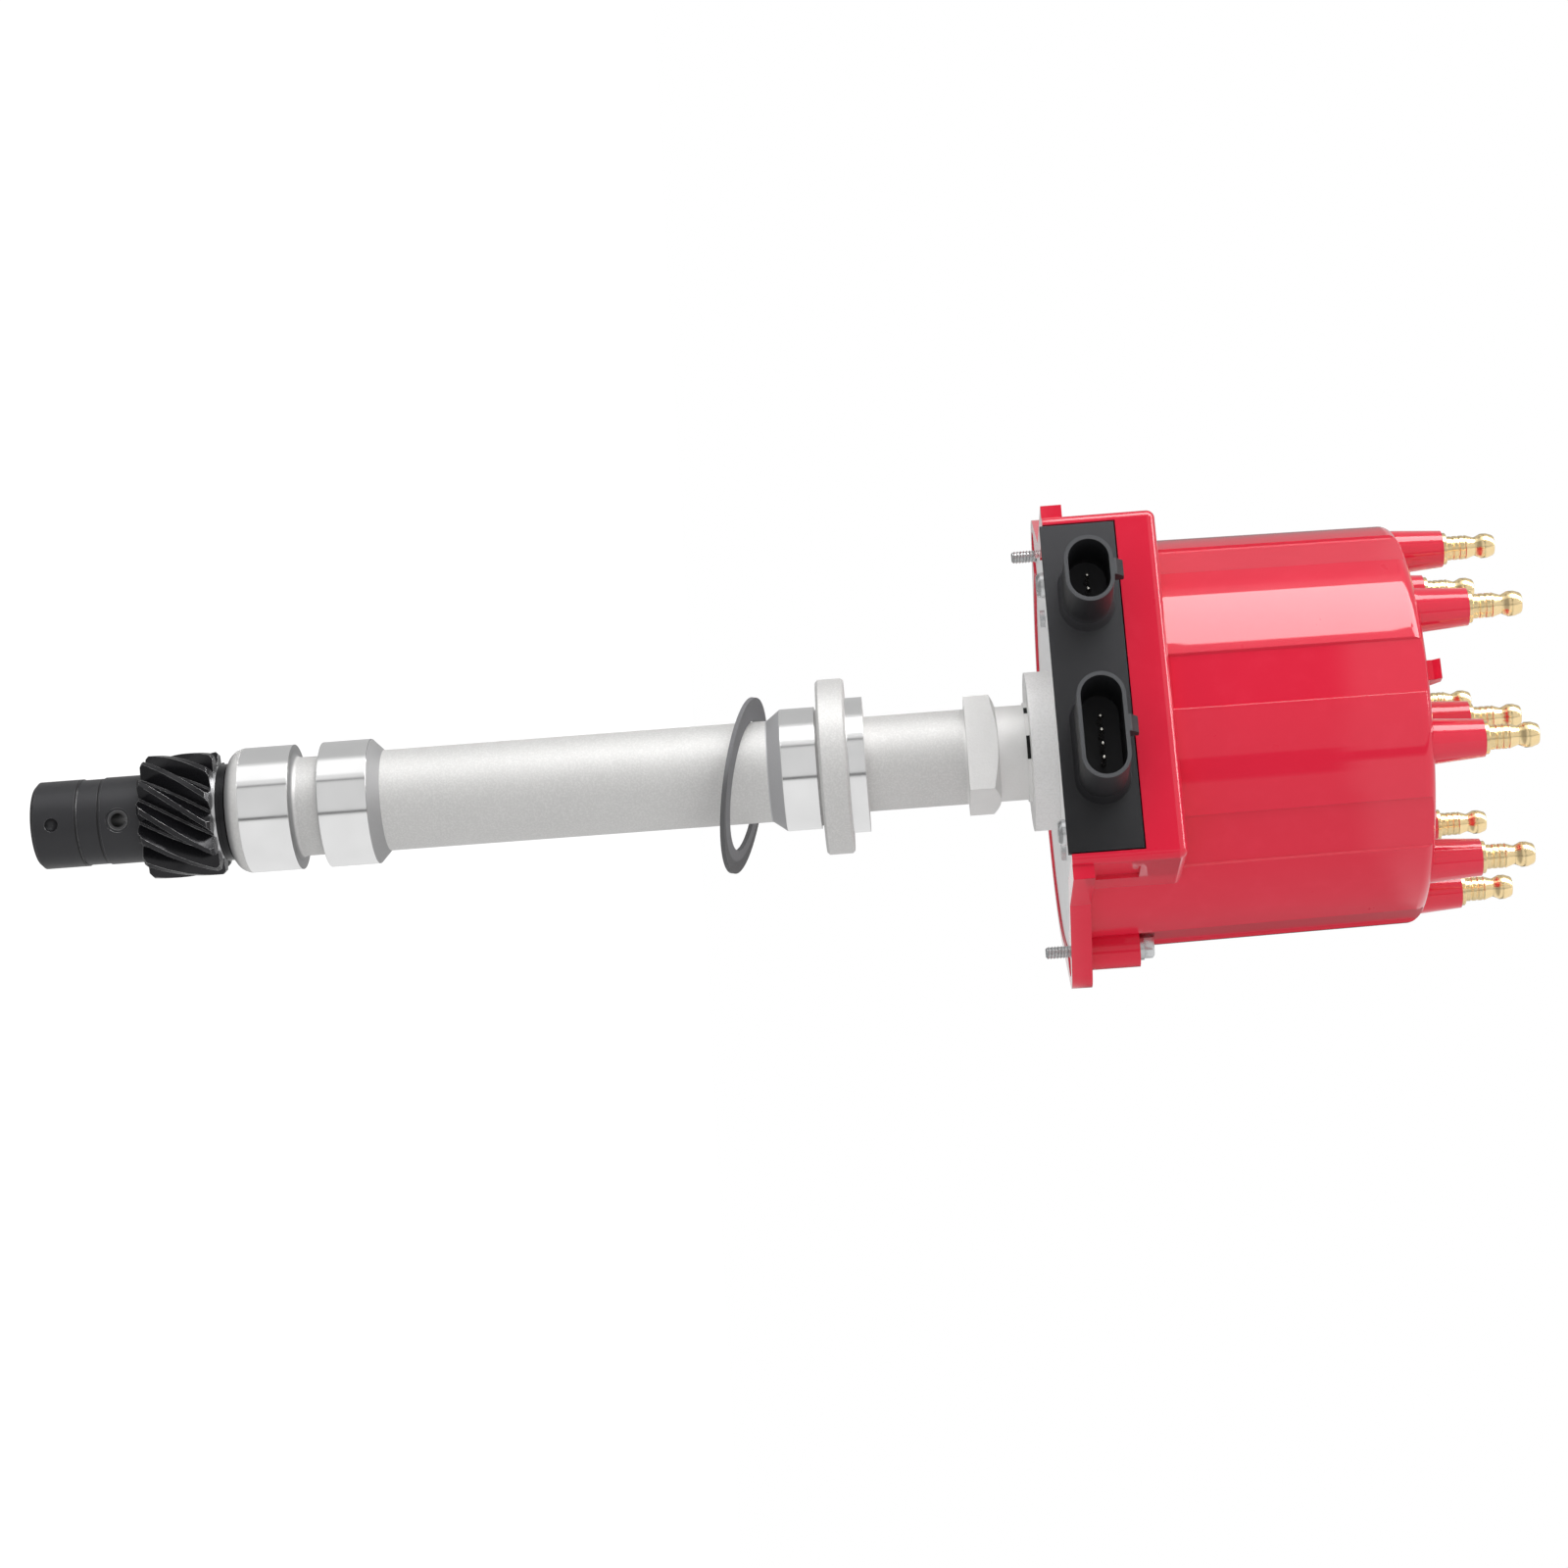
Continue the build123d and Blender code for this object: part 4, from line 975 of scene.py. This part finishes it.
def terminalProfile(ends):
    look = terminalLook
    shoulder, foot, chamfer = ends["shoulder"], ends["foot"], look["chamfer"]
    stud, collar, barrel, edge = (look[key] for key in ("stud", "collar", "barrel", "collarEdge"))
    profile = [
        (0, foot),
        (ends["footRadius"] - chamfer, foot),
        (ends["footRadius"], foot + chamfer),
        (ends["footRadius"], ends["studEnd"]),
        (stud, ends["studEnd"]),
    ]
    curve = [
        (stud, 0.0),
        (collar - edge, 0.0),
        (collar, edge),
        (collar, look["collarTop"] - edge),
        (collar - edge, look["collarTop"]),
        (barrel, look["collarTop"]),
    ]
    low, slope, wide = barrel - look["grooveDepth"], look["grooveEdge"], look["grooveWide"]
    for start in look["grooves"]:
        curve += [(barrel, start), (low, start + slope)]
        curve += [(low, start + wide - slope), (barrel, start + wide)]
    curve += [(barrel, look["barrelTop"] - 0.2), (barrel - 0.1, look["barrelTop"])]
    curve += [(look["waist"], rise) for rise in look["waistAt"]]
    curve += [(look["bulb"] - 0.25, look["bulbAt"][0] - 0.5)]
    curve += [(look["bulb"], rise) for rise in look["bulbAt"]]
    top, floor = look["top"], look["top"] - look["dimpleDepth"]
    curve += [(look["tip"] + 0.1, top - 0.3), (look["tip"] - 0.2, top)]
    curve += [(look["dimple"] + 0.1, top), (look["dimple"], floor), (0, floor)]
    return profile + [(radius, shoulder + rise) for radius, rise in curve]


ringInputs = {"Piece": "Object", "Count": "Int", "Circle": "Float", "First": "Float"}


def ringTree(name, material):
    w, given = sprout(name, **ringInputs)
    body = shapeOf(w, given["Piece"])
    ring = {"Vertices": given["Count"], "Radius": given["Circle"]}
    circle = w.node("GeometryNodeMeshCircle", None, ring)
    turned = shifted(w, circle, "Rotation", given["First"])
    return ripen(w, planted(w, turned, body), material)


def growTerminals():
    look = terminalLook
    body = turnedBody("plugTerminalBody", terminalProfile(look["plug"]), look["sides"])
    values = {
        "Piece": body,
        "Count": look["count"],
        "Circle": look["circle"] * mm,
        "First": radians(look["first"]),
    }
    tree = ringTree("terminalRing", terminalBrass)
    covers = [f"plug_terminal_{number}" for number in range(1, 9)]
    grow("plugTerminals", tree, values, covers)
    bpy.data.objects.remove(body)
    body = turnedBody("coilTerminal", terminalProfile(look["coil"]), look["sides"])
    body.data.materials.append(terminalBrass)
    soften(body.data)
    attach(body, "housing")
    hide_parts("coil_terminal")


growTerminals()

# socket contacts with rounded tips, in rows

contactLook = {
    "radius": 0.55,
    "edge": 0.1,
    "tip": [(1.0, 0.75), (0.88, 0.35), (0.55, 0.1)],  # share of the radius, and back from the end
    "sides": 16,
    "pitch": 3.4,
    "level": 67.6,
}
rowInputs = {"Piece": "Object", "Count": "Int", "Start": "Vector", "Step": "Vector"}


def rowTree(name, material):
    w, given = sprout(name, **rowInputs)
    return ripen(w, inRow(w, given, shapeOf(w, given["Piece"])), material)


def growContacts(name, node, count):
    look = contactLook
    low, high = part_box(node)
    radius, edge, reach = look["radius"], look["edge"], (high[1] - low[1]) / mm
    profile = [(0, 0), (radius - edge, 0), (radius, edge)]
    profile += [(radius * share, reach - back) for share, back in look["tip"]]
    profile += [(0, reach)]
    body = turnedBody(name + "Body", profile, look["sides"])
    body.data.transform(Matrix.Rotation(pi / 2, 4, "X"))
    values = {
        "Piece": body,
        "Count": count,
        "Start": (low[0] + radius * mm, high[1], look["level"] * mm),
        "Step": (look["pitch"] * mm, 0.0, 0.0),
    }
    tree = rowTree(name + "Row", mottled["tinnedBrass"])
    grow(name, tree, values, [node])
    bpy.data.objects.remove(body)


growContacts("twoWayPins", "two_way_contacts", 2)
growContacts("fourWayPins", "four_way_contacts", 4)

# the spring that holds the brush down, made once at the brush_spring part's length; it does not
# shorten as the brush rises

springLook = {
    "radius": 2.15,
    "wire": 0.35,
    "turns": 6.0,
    "stroke": 1.5,
}
springInputs = {
    "Radius": "Float",
    "Wire": "Float",
    "Turns": "Float",
    "Height": "Float",
    "Foot": "Float",
}


def springTree(name, material):
    w, given = sprout(name, **springInputs)
    wound = coil(w, given, given["Height"], given["Wire"], 24, 10)
    return ripen(w, wound, material)


def growSpring():
    look = springLook
    low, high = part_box("brush_spring")
    wire, tall = look["wire"] * mm, high[2] - low[2]
    values = {
        "Radius": look["radius"] * mm,
        "Wire": wire,
        "Turns": look["turns"],
        "Height": tall - 2 * wire,
        "Foot": low[2] + wire,
    }
    tree = springTree("springCoil", platedSteel)
    spring = grow("brushSpring", tree, values, ["brush_spring"])
    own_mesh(spring)


growSpring()
print("screws, terminals, contacts and spring grown")

# light: even fill, one long soft panel above, and a pale floor

lightLook = {
    "fill": 0.90,
    "fillRise": 0.06,  # how much brighter it is from above
    "panel": 8.0,  # how bright the long panel looks in gloss, from the cap's end
    "panelBelow": 0.4,  # and from the shaft's end
    "panelFrom": 56.0,  # degrees from the viewer towards the lamp side
    "panelTo": 89.0,
    "capFrom": (0.0515, 0.004),  # slope at which the cap's end starts, and how softly
    "tipsFrom": (0.168, 0.006),  # slope at which its terminals start
    "shaftFrom": (0.32, 0.10),
    "shaftDim": 0.55,  # dimmer beyond the shaft's end
    "key": 5.0,
    "keySize": (0.8, 1.4),
    "keyAim": (0.55, 0.83),  # towards the viewer, and up in the picture
    "keyAway": 1.1,
}

# brightness that gloss shows, by degrees from the viewer

metalBands = [
    (-180, 0.75), (-150, 0.90), (-19, 0.95), (-18, 0.10), (-14, 0.10),
    (-13, 0.78), (43, 0.78), (43.5, 0.2), (46, 0.2), (47, 0.92),
    (92, 0.92), (96, 0.62), (180, 0.55),
]
capBands = [
    (-180, 0.06), (-140, 0.10), (-90, 0.45), (-24.5, 0.50), (-23.5, 0.05), (-11, 0.05),
    (-10, 0.45), (13, 0.45), (15, 0.05), (42, 0.05), (47, 0.4), (55, 0.9),
    (92, 0.9), (96, 0.45), (140, 0.35), (180, 0.25),
]
white = (1, 1, 1, 1)


def at(degrees):
    return 0.5 + degrees / 360


def banded(w, angle, bands):
    stops = [(at(degrees), shade) for degrees, shade in bands]
    return w.node("ShaderNodeValToRGB", {"stops": stops}, {0: angle})


def seenBy(w, *kinds):  # 1 for rays of these kinds
    rays = w.node("ShaderNodeLightPath").socket.node.outputs
    found = Wire(w.tree, rays[f"Is {kinds[0]} Ray"])
    for kind in kinds[1:]:
        found = w.math("MAXIMUM", found, Wire(w.tree, rays[f"Is {kind} Ray"]))
    return found


def mixed(w, share, first, second):
    return w.node("ShaderNodeMixShader", None, {0: share, 1: first, 2: second})


def setWorld():
    look = lightLook
    world = bpy.data.worlds.new("studio")
    bpy.context.scene.world = world
    w = cleared(world)
    direction = w.node("ShaderNodeTexCoord", out="Generated")
    front, high = dotted(w, direction, viewer), dotted(w, direction, lift)
    angle = w.math("ARCTAN2", high, front) * (1 / (2 * pi)) + 0.5
    slope = parts(w, direction)[2]
    capEnd = above(w, slope, *look["capFrom"])
    tipEnd = above(w, slope, *look["tipsFrom"])
    shaftEnd = above(w, 0.0 - slope, *look["shaftFrom"])
    seen = tint(w, capEnd - tipEnd, banded(w, angle, metalBands), banded(w, angle, capBands))
    panel = between(w, angle, at(look["panelFrom"]), at(look["panelTo"]), 0.001)
    panel = panel * spread(w, capEnd, look["panelBelow"], look["panel"])
    strength = panel + 1.0 - shaftEnd * look["shaftDim"]
    gloss = w.node("ShaderNodeBackground", None, {"Color": seen, "Strength": strength})
    strength = high * look["fillRise"] + look["fill"]
    fill = w.node("ShaderNodeBackground", None, {"Color": white, "Strength": strength})
    clear = w.node("ShaderNodeBackground", None, {"Color": white, "Strength": 1.0})
    lit = mixed(w, seenBy(w, "Glossy"), fill, gloss)
    shown = mixed(w, seenBy(w, "Camera", "Transmission"), lit, clear)
    w.node("ShaderNodeOutputWorld", None, {"Surface": shown})


def setKey():
    look = lightLook
    lamp = bpy.data.lights.new("keyPanel", "AREA")
    lamp.shape, lamp.energy = "RECTANGLE", look["key"]
    lamp.size, lamp.size_y = look["keySize"]
    panel = linked("keyPanel", lamp)
    towards, up = look["keyAim"]
    aim = (viewer * towards + lift * up).normalized()
    axis = Vector((0, 0, 1))
    turn = Matrix((axis.cross(aim), axis, aim)).transposed().to_4x4()
    panel.matrix_world = Matrix.Translation(aim * look["keyAway"]) @ turn
    panel.visible_glossy = False
    panel.visible_camera = False


floorLook = {
    "level": -0.30,
    "size": 4.0,
    "colour": (0.85, 0.85, 0.85, 1),
    "glow": 1.12,  # keeps it pale, at this share, and still shows the shadow
    "glowShare": 0.85,
}


def floorPaint():
    look = floorLook
    material = bpy.data.materials.new("paleFloor")
    w = cleared(material)
    seen = seenBy(w, "Camera", "Glossy", "Transmission") * look["glowShare"]
    matt = w.node("ShaderNodeBsdfDiffuse", None, {"Color": look["colour"]})
    glow = w.node("ShaderNodeEmission", None, {"Color": white, "Strength": look["glow"]})
    w.node("ShaderNodeOutputMaterial", None, {"Surface": mixed(w, seen, matt, glow)})
    return material


def setFloor():
    look = floorLook
    grid = bmesh.new()
    bmesh.ops.create_grid(grid, x_segments=8, y_segments=8, size=look["size"])
    bmesh.ops.translate(grid, verts=grid.verts, vec=(0, 0, look["level"]))
    mesh = bpy.data.meshes.new("floor")
    grid.to_mesh(mesh)
    grid.free()
    floor = linked("floor", mesh)
    mesh.materials.append(floorPaint())
    floor.visible_glossy = False  # metal shows the studio round it instead


setWorld()
setKey()
setFloor()
bpy.context.scene.view_settings.view_transform = "Standard"
print("camera, light and floor set")
